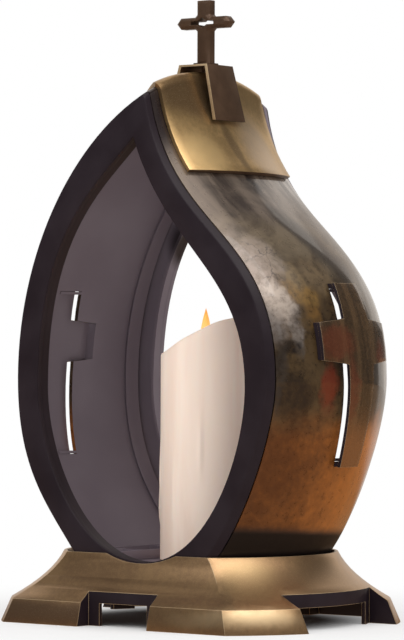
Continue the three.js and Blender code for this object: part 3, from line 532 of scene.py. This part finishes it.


# The spots are painted light: a highlight on the low band at the front right corner, and shade on
# the right flare, on the right side and low along the front.
bronze_gold = gold_bronze(
    "bronze_gold", (0.44, 0.275, 0.150), (0.58, 0.370, 0.195), (0.80, 0.58, 0.33), (
        ((70, -62, 8), (46, 30, 7), (0.96, 0.74, 0.45), 0.9),
        ((74, -52, 26), (22, 26, 20), (0.42, 0.29, 0.145), 0.8),
        ((88, -5, 24), (24, 44, 18), (0.38, 0.245, 0.135), 0.8),
        ((-60, -87, 6), (75, 24, 9), (0.300, 0.190, 0.120), 0.8),
    ),
)
# Paler, less metallic gold for rounded edges and some front faces: a painted highlight.
edge_highlight_gold = gold_bronze(
    "edge_highlight_gold", (0.46, 0.32, 0.18), (0.60, 0.44, 0.26), (0.78, 0.62, 0.40), metallic=0.4,
)


def near_black(name):
    """Near-black satin lacquer with a brown-violet tone."""
    material, inputs, place = finish_of(name)
    grain = place.noise(1100, 2.0)
    patch = place.noise(30, 4.0)
    feed(
        inputs, Roughness=0.40 + patch * 0.14, Normal=grain.bumped(0.08, 0.0001),
        Base_Color=patch.step(0.3, 0.7).mix((0.016, 0.009, 0.014), (0.025, 0.016, 0.022)),
        Specular_IOR_Level=0.28,
    )
    return material


frame_black = near_black("near_black")
keep(foot, "foot", "base_shell", "lantern", "bronze_gold", bronze_gold, edge_highlight_gold, frame_black)

# Floor tray
# A flat tray, moulded in the same satin grey-violet plastic as the walls' inside. It
# lies on the foot, closes it and carries the candle.


def copy_of(piece):
    alone(piece)
    bpy.ops.object.duplicate()
    return bpy.context.object


def refined(node, width, segments=2):
    """Cleaned copy of a CAD node with rounded edges."""
    piece = copy_of(frame["nodes"][node])
    piece.parent = None
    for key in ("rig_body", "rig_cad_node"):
        if key in piece:
            del piece[key]
    piece.data.materials.clear()
    round_edges(piece, width, segments, 25)
    return piece


def satin_violet(name):
    """Satin grey-violet plastic, with a painted shadow high on the back frame's left side."""
    material, inputs, place = finish_of(name)
    grain = place.noise(1400, 2.0)
    patch = place.noise(14, 3.0)
    colour = patch.step(0.3, 0.7).mix((0.200, 0.160, 0.192), (0.245, 0.203, 0.235))
    # Painted shadow: a dark patch high on the back frame's left side.
    painted_shadow = place.spot((-57, 60, 227), (14, 13, 18)) * 0.95
    feed(
        inputs, Base_Color=painted_shadow.mix(colour, (0.020, 0.013, 0.017)),
        Roughness=0.42 + patch * 0.12, Normal=grain.bumped(0.06, 0.0001),
    )
    return material


shell_inside = satin_violet("satin_violet")
keep(refined("floor_tray", 0.3), "tray", "floor_tray", "lantern", "tray_plastic", shell_inside)

# Guide frame
# An open frame of thin plastic walls on the tray. It holds the candle from three sides
# and has a round boss for each tray screw.

keep(refined("guide_frame", 0.3), "guide", "guide_frame", "lantern", "tray_plastic", shell_inside)

# Tray screws
# Four steel screws, driven up from below through the foot and the tray into the
# guide frame's bosses.


def plain_steel(name):
    """Plain steel with a fine grain."""
    material, inputs, place = finish_of(name)
    grain = place.noise(1500, 3.0)
    feed(
        inputs, Metallic=1.0, Roughness=0.25 + grain * 0.2,
        Base_Color=grain.step(0.3, 0.7).mix((0.42, 0.42, 0.43), (0.58, 0.58, 0.59)),
    )
    return material


steel = plain_steel("plain_steel")
for i in (1, 2, 3, 4):
    node = f"tray_screw_{i}"
    keep(refined(node, 0.2), f"tray_pin_{i}", node, "lantern", "steel", steel)

# Body walls
# Two leaning shells, moulded in plastic: glossy bronze lacquer outside, marbled and
# copper-red lower down, and satin grey-violet inside. They meet along the ridge, where
# a vent is cut out of both.

half_depth = 62
bulge_radius = 110
ridge = 3.4
apex_height = 312
belly_height = 145
heel_height = 33.3
belly_half = 91.8
heel_half = 41
apex_swell = 15
belly_swell = 20
heel_swell = 29
apex_rounding = 0.02
wall_depth = 56.7
wall_thickness = 2.4
wall_steps = 20
line_steps = 28
seam_gap = 0.18
vent_low = (-9.6, -26, 280)
vent_high = (16.4, 26, 350)
cross_height = 167
bar_half = 13.4
arm_half = 14.4
arm_end_half = 11
arm_reach = 32


def bulge(depth):
    """Share of the walls' swell at a depth: none at the frames, all in the middle."""
    edge = math.sqrt(bulge_radius ** 2 - half_depth ** 2)
    return (math.sqrt(bulge_radius ** 2 - depth ** 2) - edge) / (bulge_radius - edge)


def flank(depth, side):
    """Bezier handles of one flank, from the apex to the belly and from there to the heel."""
    swell = bulge(depth)
    if side > 0:
        upper, push = ((0.16, 0.495), (1, 0.524)), ((0.8, 0.4), (1, 0.5))
        lower = ((1, 0.29), (0.71, 0.83))
    else:
        upper, push = ((0.57, 0.84), (1, 0.436)), ((0.2, 0.5), (1, 0.5))
        lower = ((1, 0.533), (0.71, 0.705))
    top = Vector((ridge, depth, apex_height + swell * apex_swell))
    middle = Vector((side * (belly_half + swell * belly_swell), depth, belly_height))
    heel = Vector((side * (heel_half + swell * heel_swell), depth, heel_height))
    above = [Vector((
        side * (belly_half * a + swell * belly_swell * b), depth,
        belly_height + (apex_height - belly_height) * u + swell * apex_swell * v,
    )) for (a, u), (b, v) in zip(upper, push)]
    below = [Vector((
        side * (belly_half * a + swell * belly_swell * b), depth,
        belly_height - (belly_height - heel_height) * d,
    )) for (a, d), b in zip(lower, (1, 1.3))]
    return top, above, middle, below, heel


def drop_line(depth, closed=False):
    """Outline of the body at a depth, from the right heel over the rounded apex to the left."""
    halves = []
    for side in (1, -1):
        top, above, middle, below, heel = flank(depth, side)
        t = apex_rounding
        ab, bc, cd = top.lerp(above[0], t), above[0].lerp(above[1], t), above[1].lerp(middle, t)
        abc, bcd = ab.lerp(bc, t), bc.lerp(cd, t)
        cut = abc.lerp(bcd, t)
        halves.append((cut, bcd, cd, middle, below, heel, cut.lerp(top, 2 / 3)))
    right, left = halves
    return outline([
        (right[5], right[5].lerp(left[5], 1 / 3), right[4][1]),
        (right[3], right[4][0], right[2]),
        (right[0], right[1], right[6]),
        (left[0], left[6], left[1]),
        (left[3], left[2], left[4][0]),
        (left[5], left[4][1], left[5].lerp(right[5], 1 / 3)),
    ], closed, line_steps)


def flank_line(depth, side):
    """Outline of one flank at a depth, from the sharp ridge down to the heel."""
    top, above, middle, below, heel = flank(depth, side)
    return outline([
        (top, top, above[0]), (middle, above[1], below[0]), (heel, below[1], heel),
    ], False, line_steps)


def depths(front, back, steps):
    return [front + (back - front) * i / steps for i in range(steps + 1)]


def faces_out(piece):
    """Turns a sheet's faces away from the body's middle."""
    outward = sum(face.normal.x * face.center.x for face in piece.data.polygons)
    if outward < 0:
        alone(piece, "EDIT")
        bpy.ops.mesh.select_all(action="SELECT")
        bpy.ops.mesh.flip_normals()
        bpy.ops.object.mode_set(mode="OBJECT")
    return piece


def skin(front, back, steps):
    """Open sheet of the drop's surface between two depths."""
    return faces_out(lofted([drop_line(depth) for depth in depths(front, back, steps)], False))


def trim(piece, place, normal, closed=False):
    """Cuts a sheet or a closed piece along a plane and drops what lies on the normal's side."""
    alone(piece, "EDIT")
    bpy.ops.mesh.select_all(action="SELECT")
    bpy.ops.mesh.bisect(
        plane_co=Vector(place) * MM, plane_no=normal, clear_outer=True, use_fill=closed,
    )
    bpy.ops.object.mode_set(mode="OBJECT")


def lift(piece, distance):
    """Moves a sheet along its normals."""
    alone(piece, "EDIT")
    bpy.ops.mesh.select_all(action="SELECT")
    bpy.ops.transform.shrink_fatten(value=distance * MM, use_even_offset=True)
    bpy.ops.object.mode_set(mode="OBJECT")


def thicken(piece, thickness, outwards, inner_finish=0):
    apply(
        piece, "SOLIDIFY", thickness=thickness * MM, offset=1 if outwards else -1,
        use_even_offset=True, material_offset=inner_finish,
    )


def prism(corners, low, high, axis):
    """Tool with a many-cornered outline, standing between two places along an axis."""
    bpy.ops.object.select_all(action="DESELECT")
    bpy.ops.mesh.primitive_circle_add(vertices=len(corners), radius=1, fill_type="NGON")
    tool = bpy.context.object
    for point, (a, b) in zip(tool.data.vertices, corners):
        place = {"X": (low, a, b), "Y": (a, low, b), "Z": (a, b, low)}[axis]
        point.co = Vector(place) * MM
    alone(tool, "EDIT")
    bpy.ops.mesh.select_all(action="SELECT")
    way = Vector((axis == "X", axis == "Y", axis == "Z")) * (high - low) * MM
    bpy.ops.mesh.extrude_region_move(TRANSFORM_OT_translate={"value": way})
    bpy.ops.mesh.select_all(action="SELECT")
    bpy.ops.mesh.normals_make_consistent(inside=False)
    bpy.ops.object.mode_set(mode="OBJECT")
    return tool


def cross_tool(side, shortening, set_in=0):
    """Tapering cross through one side wall, with its ends cut short and its sides set in."""
    arm_taper = (arm_end_half - arm_half) / arm_reach
    corners = []
    for up, length, end_half in ((-1, 73, 9), (1, 34, 10.7)):
        taper = (end_half - bar_half) / length
        corner = (bar_half - set_in + taper * (arm_half - set_in)) / (1 - taper * arm_taper)
        span = arm_reach - shortening
        reach = length - shortening
        rows = [
            (bar_half - set_in + taper * reach, cross_height + up * reach),
            (corner, cross_height + up * (arm_half - set_in + arm_taper * corner)),
            (span, cross_height + up * (arm_half - set_in + arm_taper * span)),
        ]
        corners += rows if up < 0 else rows[::-1]
    corners += [(-y, z) for y, z in reversed(corners)]
    low, high = (40, 125) if side > 0 else (-125, -40)
    return prism(corners, low, high, "X")


drop_skin = skin(-wall_depth, wall_depth, wall_steps)
walls = []
for side in (-1, 1):
    across_wall = depths(-wall_depth, wall_depth, wall_steps)
    lines = [flank_line(depth, side) for depth in across_wall]
    wall = faces_out(lofted(lines, False))
    room_for(wall, 2)
    thicken(wall, wall_thickness, False, 1)
    seam = ridge + side * seam_gap
    past_seam = seam - side * 16
    carve(wall, block((min(seam, past_seam), -60, 280), (max(seam, past_seam), 60, 350)))
    rounded = lofted([drop_line(depth, True) for depth in depths(-60, 60, wall_steps)], True)
    lift(rounded, 0.02)
    past_rounding = block((-40, -59, 303), (46, 59, 350))
    carve(past_rounding, rounded)
    carve(wall, past_rounding)
    carve(wall, cross_tool(side, 3.3, 0.5))
    carve(wall, block(vent_low, vent_high))
    smoothed(wall)
    walls.append(wall)


def side_spot(place, middle, reach):
    """1 inside an oval on both sides, from its middle and reach in depth and height."""
    return place.spot((0, *middle), (900, *reach))


def marbled_lacquer(name):
    """Clear-coated bronze lacquer: copper below, brown and marbled gold above, with painted
    reflections and shade.
    """
    material, inputs, place = finish_of(name)
    swirl = place.swirled(60, 0.022)
    ragged_height = swirl.part("Z")
    veins = place.noise(46, 8.0, 0.66, 0.8)
    fine = place.noise(230, 5.0, 0.62)
    streaks = place.scaled((12, 60, 12)).noise(1.0, 5.0, 0.6, 0.5)

    umber = (veins * 0.6 + fine * 0.4).step(0.38, 0.60)
    umber = umber.mix((0.036, 0.021, 0.010), (0.110, 0.066, 0.028))
    olive = veins.step(0.36, 0.64).mix((0.085, 0.060, 0.036), (0.200, 0.150, 0.095))
    taupe = (streaks * 0.7 + veins * 0.3).step(0.40, 0.60)
    taupe = taupe.mix((0.042, 0.028, 0.022), (0.185, 0.138, 0.104))
    warmth = (veins * 0.3 + fine * 0.3 + place.part("Y").step(-0.06, 0.05) * 0.4).step(0.25, 0.75)
    copper = warmth.mix((0.125, 0.040, 0.010), (0.600, 0.195, 0.032))
    colour = ragged_height.step(0.195, 0.222).mix(umber, olive)
    colour = ragged_height.step(0.226, 0.246).mix(colour, taupe)
    for middle, reach, tint, strength in (
        # painted reflections of the white surround, pale grey by the front frame
        ((-58, 203), (19, 40), (0.31, 0.240, 0.200), 0.9),
        ((-42, 216), (9, 12), (0.30, 0.235, 0.190), 0.7),
        ((-44, 176), (6, 20), (0.27, 0.230, 0.205), 0.8),
        ((-56, 180), (7, 13), (0.20, 0.180, 0.170), 0.7),
        ((-49, 191), (10, 12), (0.48, 0.395, 0.330), 0.9),
        # golden marbled spots
        ((-16, 204), (12, 12), (0.240, 0.165, 0.090), 0.7),
        ((-33, 205), (7, 8), (0.260, 0.180, 0.090), 0.7),
        ((-31, 195), (12, 9), (0.290, 0.160, 0.040), 0.75),
        ((-29, 182), (8, 8), (0.240, 0.120, 0.028), 0.75),
        ((-20, 190), (6, 16), (0.090, 0.052, 0.020), 0.6),
        # painted dark reflections, low by the front frame
        ((-49, 162), (9, 8), (0.018, 0.012, 0.010), 0.95),
        ((-47, 135), (16, 11), (0.022, 0.014, 0.010), 0.9),
        ((-56, 146), (5, 26), (0.050, 0.040, 0.034), 0.7),
        # painted shadow under the cap's hem
        ((-8, 263), (4, 10), (0.018, 0.012, 0.011), 0.95),
        # a mid-brown patch towards the back
        ((32, 188), (16, 30), (0.130, 0.100, 0.070), 0.5),
    ):
        marbling_and_reflection = side_spot(swirl, middle, reach) * (fine.step(0.40, 0.60) * 0.5 + 0.5)
        colour = (marbling_and_reflection * strength).mix(colour, tint)
    colour = (1 - ragged_height.step(0.108, 0.132)).mix(colour, copper)
    # A painted dark reflection in a slanting streak across the neck.
    for middle, reach in (
        ((-11, 240), (6, 10)), ((-4, 231), (10, 12)), ((4, 221), (12, 12)), ((12, 210), (13, 13)),
    ):
        dark_reflection_streak = side_spot(place, middle, reach) * 0.85
        colour = dark_reflection_streak.mix(colour, (0.024, 0.013, 0.006))
    for middle, reach, tint in (
        ((-23, 141), (8, 17), (0.21, 0.030, 0.010)),
        ((26, 152), (11, 34), (0.030, 0.018, 0.011)),
    ):
        colour = (side_spot(swirl, middle, reach) * 0.75).mix(colour, tint)
    cracks = swirl.node(
        "TexVoronoi", {"feature": "DISTANCE_TO_EDGE"}, {"Vector": swirl, "Scale": 62.0},
    )
    cracks = (1 - cracks.step(0.0, 0.035)) * side_spot(place, (-44, 213), (14, 16))
    colour = (cracks * 0.75).mix(colour, (0.030, 0.022, 0.020))
    # Painted dark reflection high on the walls by the front frame, with less clear coat.
    ridge_dark_reflection = side_spot(place, (-55, 302), (9, 30))
    colour = (ridge_dark_reflection * 0.85).mix(colour, (0.030, 0.021, 0.023))
    # Painted shade on the upper walls towards the back, with less clear coat to dim their
    # reflection.
    neck_shade = side_spot(place, (30, 230), (30, 30))
    colour = (neck_shade * 0.6).mix(colour, (0.105, 0.062, 0.032))
    # Painted dark reflection of the foot and shade low on the walls; there they are also less
    # metallic and less coated.
    foot_reflection_shade = 1 - (place.part("Z") + swirl.part("Y") * 0.05).step(0.053, 0.060)
    colour = foot_reflection_shade.mix(colour, (0.010, 0.005, 0.004))

    coat = (streaks.step(0.36, 0.60) * 0.5 + 0.45) * (1 - foot_reflection_shade * 0.9)
    feed(
        inputs, Base_Color=colour, Metallic=0.35 - foot_reflection_shade * 0.35,
        Roughness=0.22 + fine * 0.14 + foot_reflection_shade * 0.3,
        Coat_Weight=coat * (1 - ridge_dark_reflection * 0.6) * (1 - neck_shade * 0.75),
        Coat_Roughness=0.03, Coat_IOR=1.55, Normal=fine.bumped(0.03, 0.0002),
    )
    return material


shell_outside = marbled_lacquer("marbled_lacquer")
for wall, name in zip(walls, ("left", "right")):
    node = f"{name}_shell"
    keep(wall, f"{name}_wall", node, "lantern", "shell_lacquer", shell_outside, shell_inside)

# Frames
# Near-black satin mouldings that close the walls' edges at the front and back, each
# with a drop-shaped opening, a lip round it and a flange that enters the walls.

opening_half = 76.5
opening_apex = (-5, 286.6)
opening_belly = 140
opening_sill = (3, 37.4)
rim_depths = (half_depth, 60.3, 58.6, 57)
lip_depths = (58, 52)
lip_thickness = 1.8
flange_front, flange_back = 57.4, 50
flange_top = 302
flange_heel = 48
flange_set_in = 2.9
flange_thickness = 2


def opening_line(depth):
    """Outline of the opening at a depth: apex, left belly, sill and right belly."""
    above = opening_apex[1] - opening_belly
    below = opening_belly - opening_sill[1]

    def at(out, rise, fall=0):
        return Vector((out * opening_half, depth, opening_belly + rise * above - fall * below))

    apex = Vector((opening_apex[0], depth, opening_apex[1]))
    sill = Vector((opening_sill[0], depth, opening_sill[1]))
    return outline([
        (apex, at(0.259, 0.531), at(-0.442, 0.803)),
        (at(-1, 0), at(-1, 0.638), at(-1, 0, 0.408)),
        (sill, at(-0.6, 0, 1), at(0.659, 0, 1)),
        (at(1, 0), at(1, 0, 0.371), at(1, 0.467)),
    ], True, line_steps)


for name, node, front in (("front_rim", "front_frame", -1), ("back_rim", "back_frame", 1)):
    rim = lofted([drop_line(front * d, True) for d in rim_depths], True)
    lip = lofted([opening_line(front * d) for d in lip_depths], False)
    body_middle = Vector((0, 0, 0.14))
    inward = sum(face.normal.dot(face.center - body_middle) for face in lip.data.polygons) < 0
    thicken(lip, lip_thickness, not inward)
    carve(rim, lofted([opening_line(front * d) for d in (70, 50)], True))
    round_edges(rim, 0.7, 3)
    flange = skin(front * flange_front, front * flange_back, 3)
    trim(flange, (0, 0, flange_top), (0, 0, 1))
    lift(flange, -flange_set_in)
    thicken(flange, flange_thickness, False)
    trim(flange, (0, 0, flange_heel), (0, 0, -1), True)
    for part in (lip, flange):
        smoothed(part)
    alone(rim)
    lip.select_set(True)
    flange.select_set(True)
    bpy.ops.object.join()
    lacquer_end = 0.0605 if front > 0 else 0.0575
    faced(rim, 1, lambda face: (
        face.center.y * front < lacquer_end and (front > 0 or face.normal.y > 0.5)
    ))
    keep(rim, name, node, "lantern", "frame_lacquer", frame_black, shell_inside)

# Raised crosses
# A separate lacquered plate on each wall, held off it by short feet at the ends of
# its bars, so that light shows past the long sides. Tabs behind the feet clip into
# the wall's window.

plate_gap = 3
plate_thickness = 2
feet_gap = 0.3
feet_thickness = 3.4
tabs_depth = 2.8
tabs_thickness = 6
between_feet = (-125, -29, 97), (125, 29, 198)
between_tabs = (-125, -26.8, 99.2), (125, 26.8, 195.8)


def bronze_lacquer(name):
    """Glossy dark bronze lacquer with reddish clouds."""
    material, inputs, place = finish_of(name)
    fine = place.noise(260, 4.0, 0.6)
    streaks = place.scaled((9, 90, 7)).noise(1.0, 5.0, 0.6, 0.4)
    swirl = place.swirled(60, 0.020)
    colour = (streaks * 0.8 + fine * 0.2).step(0.36, 0.62)
    colour = colour.mix((0.046, 0.026, 0.012), (0.135, 0.076, 0.034))
    for middle, reach in (((-20, 166), (16, 12)), ((-8, 140), (5, 22)), ((22, 160), (9, 9))):
        colour = (side_spot(swirl, middle, reach) * 0.6).mix(colour, (0.170, 0.040, 0.016))
    colour = (1 - swirl.part("Z").step(0.106, 0.134)).mix(colour, (0.250, 0.100, 0.032))
    feed(
        inputs, Base_Color=colour, Metallic=0.35, Roughness=0.20 + fine * 0.14,
        Coat_Weight=0.8, Coat_Roughness=0.05, Normal=fine.bumped(0.05, 0.0002),
    )
    return material


cross_bronze = bronze_lacquer("bronze_lacquer")
for name, side in (("left_cross", -1), ("right_cross", 1)):
    plate = copy_of(drop_skin)
    room_for(plate, 4)
    trim(plate, (ridge + side * 20, 0, 0), (-side, 0, 0))
    feet = copy_of(plate)
    tabs = copy_of(plate)
    # On the right cross the plate's sides, feet and tabs take near-black lacquer as painted shade;
    # on the left cross they take the walls' inside grey-violet.
    inside_tone_and_shade_finish = 3 if side > 0 else 1
    lift(plate, plate_gap)
    thicken(plate, plate_thickness, True)
    carve(plate, cross_tool(side, 0), "INTERSECT")
    faced(plate, inside_tone_and_shade_finish, lambda face: abs(face.normal.x) < 0.35)
    faced(plate, 1, lambda face: face.normal.x * side < -0.35)
    # The plate's rounded edges take the paler gold as a painted highlight.
    round_edges(plate, 0.3, 2, 40, 2, 0.15)
    lift(feet, feet_gap)
    thicken(feet, feet_thickness, True)
    carve(feet, cross_tool(side, 0.4, 0.4), "INTERSECT")
    carve(feet, block(*between_feet))
    lift(tabs, -tabs_depth)
    thicken(tabs, tabs_thickness, True)
    window = cross_tool(side, 3.6, 0.6)
    carve(window, block(*between_tabs))
    carve(tabs, window, "INTERSECT")
    for part in (feet, tabs):
        faced(part, inside_tone_and_shade_finish)
        carve(plate, part, "UNION")
    smoothed(plate)
    finishes = (cross_bronze, shell_inside, edge_highlight_gold, frame_black)
    keep(plate, name, f"{name}_plate", "lantern", "cross_lacquer", *finishes)
bpy.data.objects.remove(drop_skin)

# Saddle cap
# A lift-off cap in gold-bronze lacquer, which follows the ridge and hides the vent. Under
# its hem it is dark bronze, as painted shade. Two tongues under it drop into the vent,
# and a pad takes the crest's screw.

cap_depth = 50
cap_hem = 265.5
cap_left = -33
cap_gap = 0.3
cap_thickness = 2.5
crest_pad = 3.6
crest_screw_x = 2.2
crest_screw_hole = 1.7
tongue_low, tongue_high = 23.7, 25.7

cap = skin(-cap_depth, cap_depth, 18)
trim(cap, (0, 0, cap_hem), (0, 0, -1))
trim(cap, (cap_left, 0, cap_hem), (-1, 0, -0.6))
lift(cap, cap_gap)
thicken(cap, cap_thickness, True)
for end in (-1, 1):
    beside = [(4.6, end * 52), (-24, end * 30), (-120, end * 30), (-120, end * 52)]
    carve(cap, prism(beside, 145, 350, "Z"))
    low, high = sorted((end * tongue_low, end * tongue_high))
    tongue = block((-5.6, low, 300), (12.4, high, 350))
    core = lofted([drop_line(end * d, True) for d in (22, 24.7, 27)], True)
    lift(core, 1)
    carve(tongue, core, "INTERSECT")
    carve(cap, tongue, "UNION")
carve(cap, drum(crest_screw_x, 0, crest_pad, 323, 328, 48), "UNION")
carve(cap, drum(crest_screw_x, 0, crest_screw_hole, 310, 335, 32))
# The rounded edges take the paler gold as a painted highlight, and the hem's underside takes dark
# bronze as painted shade.
round_edges(cap, 0.4, 3, edge_finish=1)
faced(cap, 2, lambda face: (
    face.center.z < 0.269 and face.normal.z < -0.3 and face.normal.x > 0.2
))
# The spots are painted light: shade over the top, a highlight low on the front, a dark reflection
# in a streak across the middle and a pale reflection towards the back.
cap_gold = gold_bronze(
    "cap_gold", (0.54, 0.350, 0.155), (0.76, 0.510, 0.235), (0.86, 0.68, 0.42), (
        ((20, -24, 314), (40, 60, 18), (0.270, 0.165, 0.085), 0.8),
        ((34, -34, 280), (30, 18, 16), (1.00, 0.70, 0.33), 0.9),
        ((36, -5, 284), (40, 5, 22), (0.260, 0.165, 0.080), 0.7),
        ((40, 22, 285), (40, 22, 30), (0.66, 0.51, 0.37), 0.7),
    ),
)


def dark_bronze(name):
    """Satin dark bronze with soft clouds."""
    material, inputs, place = finish_of(name)
    grain = place.noise(700, 3.0)
    patch = place.noise(60, 4.0, 0.6)
    feed(
        inputs, Metallic=0.4, Roughness=0.30 + grain * 0.15,
        Base_Color=patch.step(0.3, 0.7).mix((0.080, 0.043, 0.024), (0.120, 0.067, 0.038)),
        Normal=grain.bumped(0.10, 0.0002),
    )
    return material


crest_bronze = dark_bronze("dark_bronze")
keep(cap, "saddle_cap", "ridge_cap", "lid", "bronze_gold", cap_gold, edge_highlight_gold, crest_bronze)

# Crest box
# A dark bronze casting of folded look, with a painted highlight in paler gold on its
# front faces: a short bridge over the cap with a tapering plate down each side. It sits
# on the cap's pad.

crest_box = refined("crest_block", 0.4)
# The front faces take the paler gold as a painted highlight.
faced(crest_box, 1, lambda face: face.normal.y < -0.9)
keep(crest_box, "crest_box", "crest_block", "lid", "dark_bronze", crest_bronze, edge_highlight_gold)

# Top cross
# A small cross, cast in the same dark bronze, with pointed arm ends and an opening
# through its middle. Its foot plugs into the crest box.

keep(refined("finial_cross", 0.3), "top_cross", "finial_cross", "lid", "dark_bronze", crest_bronze)

# Crest screw
# One steel screw, driven up from under the cap through its pad and the crest box into
# the foot of the cross.

keep(refined("crest_screw", 0.2), "crest_pin", "crest_screw", "lid", "steel", steel)

# Candle
# A hollow sleeve of ivory wax with a slanting rim, a well in its top and a few runs
# of wax down its side. It stands on the tray inside the guide frame.

candle_x = 3
candle_base = 36.6
candle_radius = 27
candle_bore = 24
rim_middle = 139.2
rim_slant = 0.42
rim_sag = 4.4
rim_ripple = 0.2
rim_high_side = math.radians(37)
well_height = 116
bore_height = 113.5
lamp_bore = 3.7
lamp_bore_height = 125
ring_points = 160


def ivory_wax(name):
    """Smooth ivory wax with faint warm streaks, and a painted glow that grows towards the flame.
    """
    material, inputs, place = finish_of(name)
    streaks = place.scaled((60, 60, 6)).noise(1.0, 4.0, 0.5, 0.4)
    pores = place.noise(500, 3.0)
    # Painted light: the wax glows all over, and more towards the flame.
    glow = place.part("Z").step(0.05, 0.18) * 0.09 + 0.15
    feed(
        inputs, Roughness=0.42 + pores * 0.1,
        Base_Color=streaks.step(0.32, 0.68).mix((0.76, 0.60, 0.50), (0.87, 0.73, 0.63)),
        Emission_Color=glow.mix((0.0, 0.0, 0.0), (1.0, 0.78, 0.63)), Emission_Strength=1.0,
        Subsurface_Weight=0.25, Subsurface_Radius=(0.012, 0.007, 0.004),
        Normal=(streaks * 0.6 + pores * 0.4).bumped(0.12, 0.0006),
    )
    return material


def rim_height(angle):
    """Height of the sleeve's rim round the candle."""
    share = math.cos(angle - rim_high_side)
    slant = rim_slant * candle_radius * share - rim_sag * share ** 2
    return candle_base + rim_middle + slant + rim_ripple * math.sin(7 * angle)


def run_of_wax(angle, height):
    """How far a run of wax stands off the sleeve."""
    off = 0
    for turn, low, high, wide in (
        (216.7, 58, 88, 5), (224, 74, 112, 4), (262, 60, 96, 4), (300, 90, 128, 4),
    ):
        gap = (math.degrees(angle) - turn + 180) % 360 - 180
        along = (height - low) / (high - low)
        if abs(gap) < wide and 0 < along < 1:
            off = max(off, 1.1 * (1 - abs(gap) / wide) * math.sin(math.pi * along ** 0.6))
    return off


def wax_ring(radius, height_at, runs=False):
    """Ring of points round the candle's middle, with its own height at each angle."""
    bpy.ops.object.select_all(action="DESELECT")
    bpy.ops.mesh.primitive_circle_add(
        vertices=ring_points, radius=radius * MM, location=(candle_x * MM, 0, 0),
    )
    bpy.ops.object.transform_apply()
    ring = bpy.context.object
    for point in ring.data.vertices:
        angle = math.atan2(point.co.y, point.co.x - candle_x * MM)
        point.co.z = height_at(angle) * MM
        if runs:
            off = run_of_wax(angle, point.co.z / MM) * MM
            point.co += Vector((math.cos(angle), math.sin(angle), 0)) * off
    return ring


def side_height(angle, share):
    return candle_base + (rim_height(angle) - 2 - candle_base) * share


rows = [
    wax_ring(candle_radius, lambda angle: side_height(angle, share), True)
    for share in depths(0, 1, 24)
]
for radius, below in ((26.4, 0.5), (25.5, 0), (24.6, 0.5), (24, 2)):
    rows.append(wax_ring(radius, lambda angle: rim_height(angle) - below))
for radius, above in ((23.4, 4), (22.5, 0.6), (20, 0)):
    rows.append(wax_ring(radius, lambda angle: candle_base + well_height + above))
candle = lofted(rows, True)
carve(candle, drum(candle_x, 0, candle_bore, 20, candle_base + bore_height))
carve(candle, drum(candle_x, 0, lamp_bore, 20, candle_base + lamp_bore_height, 48))
smoothed(candle, 40)
wax = ivory_wax("ivory_wax")
keep(candle, "wax_candle", "candle_sleeve", "candle", "ivory_wax", wax)

# Flame
# A flame-shaped tip of translucent amber plastic. Its stem comes up through the floor
# of the candle's well, and a flange under that floor holds it.


def glowing_amber(name):
    """Amber plastic that glows: pale at the foot, orange towards the point."""
    material, inputs, place = finish_of(name)
    colour = place.part("Z").step(0.158, 0.187).mix((1.0, 0.72, 0.30), (1.0, 0.40, 0.08))
    feed(inputs, Base_Color=colour, Emission_Color=colour, Emission_Strength=0.8, Roughness=0.35)
    return material


amber = glowing_amber("glowing_amber")
keep(refined("flame_tip", 0.2), "flame", "flame_tip", "candle", "amber_flame", amber)

# Lamp
# A small round lamp in clear warm-toned plastic. It stands on the battery case's post,
# inside the flame's hollow foot.


def plain_plastic(name, dark, pale, roughness):
    """Moulded plastic with a faint grain."""
    material, inputs, place = finish_of(name)
    grain = place.noise(900, 3.0)
    feed(
        inputs, Base_Color=grain.step(0.3, 0.7).mix(dark, pale),
        Roughness=roughness + grain * 0.1, Normal=grain.bumped(0.05, 0.0001),
    )
    return material


def small_part(node, name, body, slot, material):
    keep(refined(node, 0.15, 1), name, node, body, slot, material)


lamp_clear = plain_plastic("lamp_plastic", (0.84, 0.74, 0.54), (0.92, 0.84, 0.66), 0.15)
small_part("led_lamp", "lamp", "candle", "lamp_plastic", lamp_clear)

# Battery case
# An off-white plastic moulding, pushed up into the candle's hollow sleeve. It has room
# for two cells, which go in from below, and a tall post on its roof.

gear_white = plain_plastic("gear_plastic", (0.66, 0.64, 0.59), (0.76, 0.74, 0.69), 0.42)
small_part("battery_case", "case", "candle", "gear_plastic", gear_white)

# Cells
# Two small upright cells in plain dark-blue plastic jackets. They stand side by side
# in the case, between the steel contacts.

cell_blue = plain_plastic("battery_jacket", (0.04, 0.09, 0.17), (0.06, 0.13, 0.23), 0.28)
for i in (1, 2):
    small_part(f"battery_{i}", f"cell_{i}", "candle", "battery_jacket", cell_blue)

# Contacts
# Two steel springs on a steel strip, which the cover holds up against the cells, and a
# steel bridge under the case's roof, which joins the cells at the top.

small_part("contact_springs", "springs", "candle", "steel", steel)
small_part("contact_bridge", "bridge", "candle", "steel", steel)

# Circuit board
# A small green ring of glass-filled plastic. It lies on the case's roof round the post,
# and joins the contacts to the lamp.

board_green = plain_plastic("board_green", (0.02, 0.08, 0.03), (0.04, 0.12, 0.05), 0.4)
small_part("circuit_board", "board", "candle", "board_green", board_green)

# Battery cover
# A round off-white plastic cover with a grip bar, in the middle of the case's floor. It
# turns a little way round to come off.

small_part("battery_cover", "cover_disc", "cover", "gear_plastic", gear_white)

# Switch
# A small black plastic slider in the case's floor, beside the battery cover. It runs
# in a short slot and turns the lamp on and off.

switch_black = plain_plastic("switch_black", (0.010, 0.010, 0.011), (0.018, 0.018, 0.019), 0.4)
small_part("switch_slider", "slider", "switch", "switch_black", switch_black)
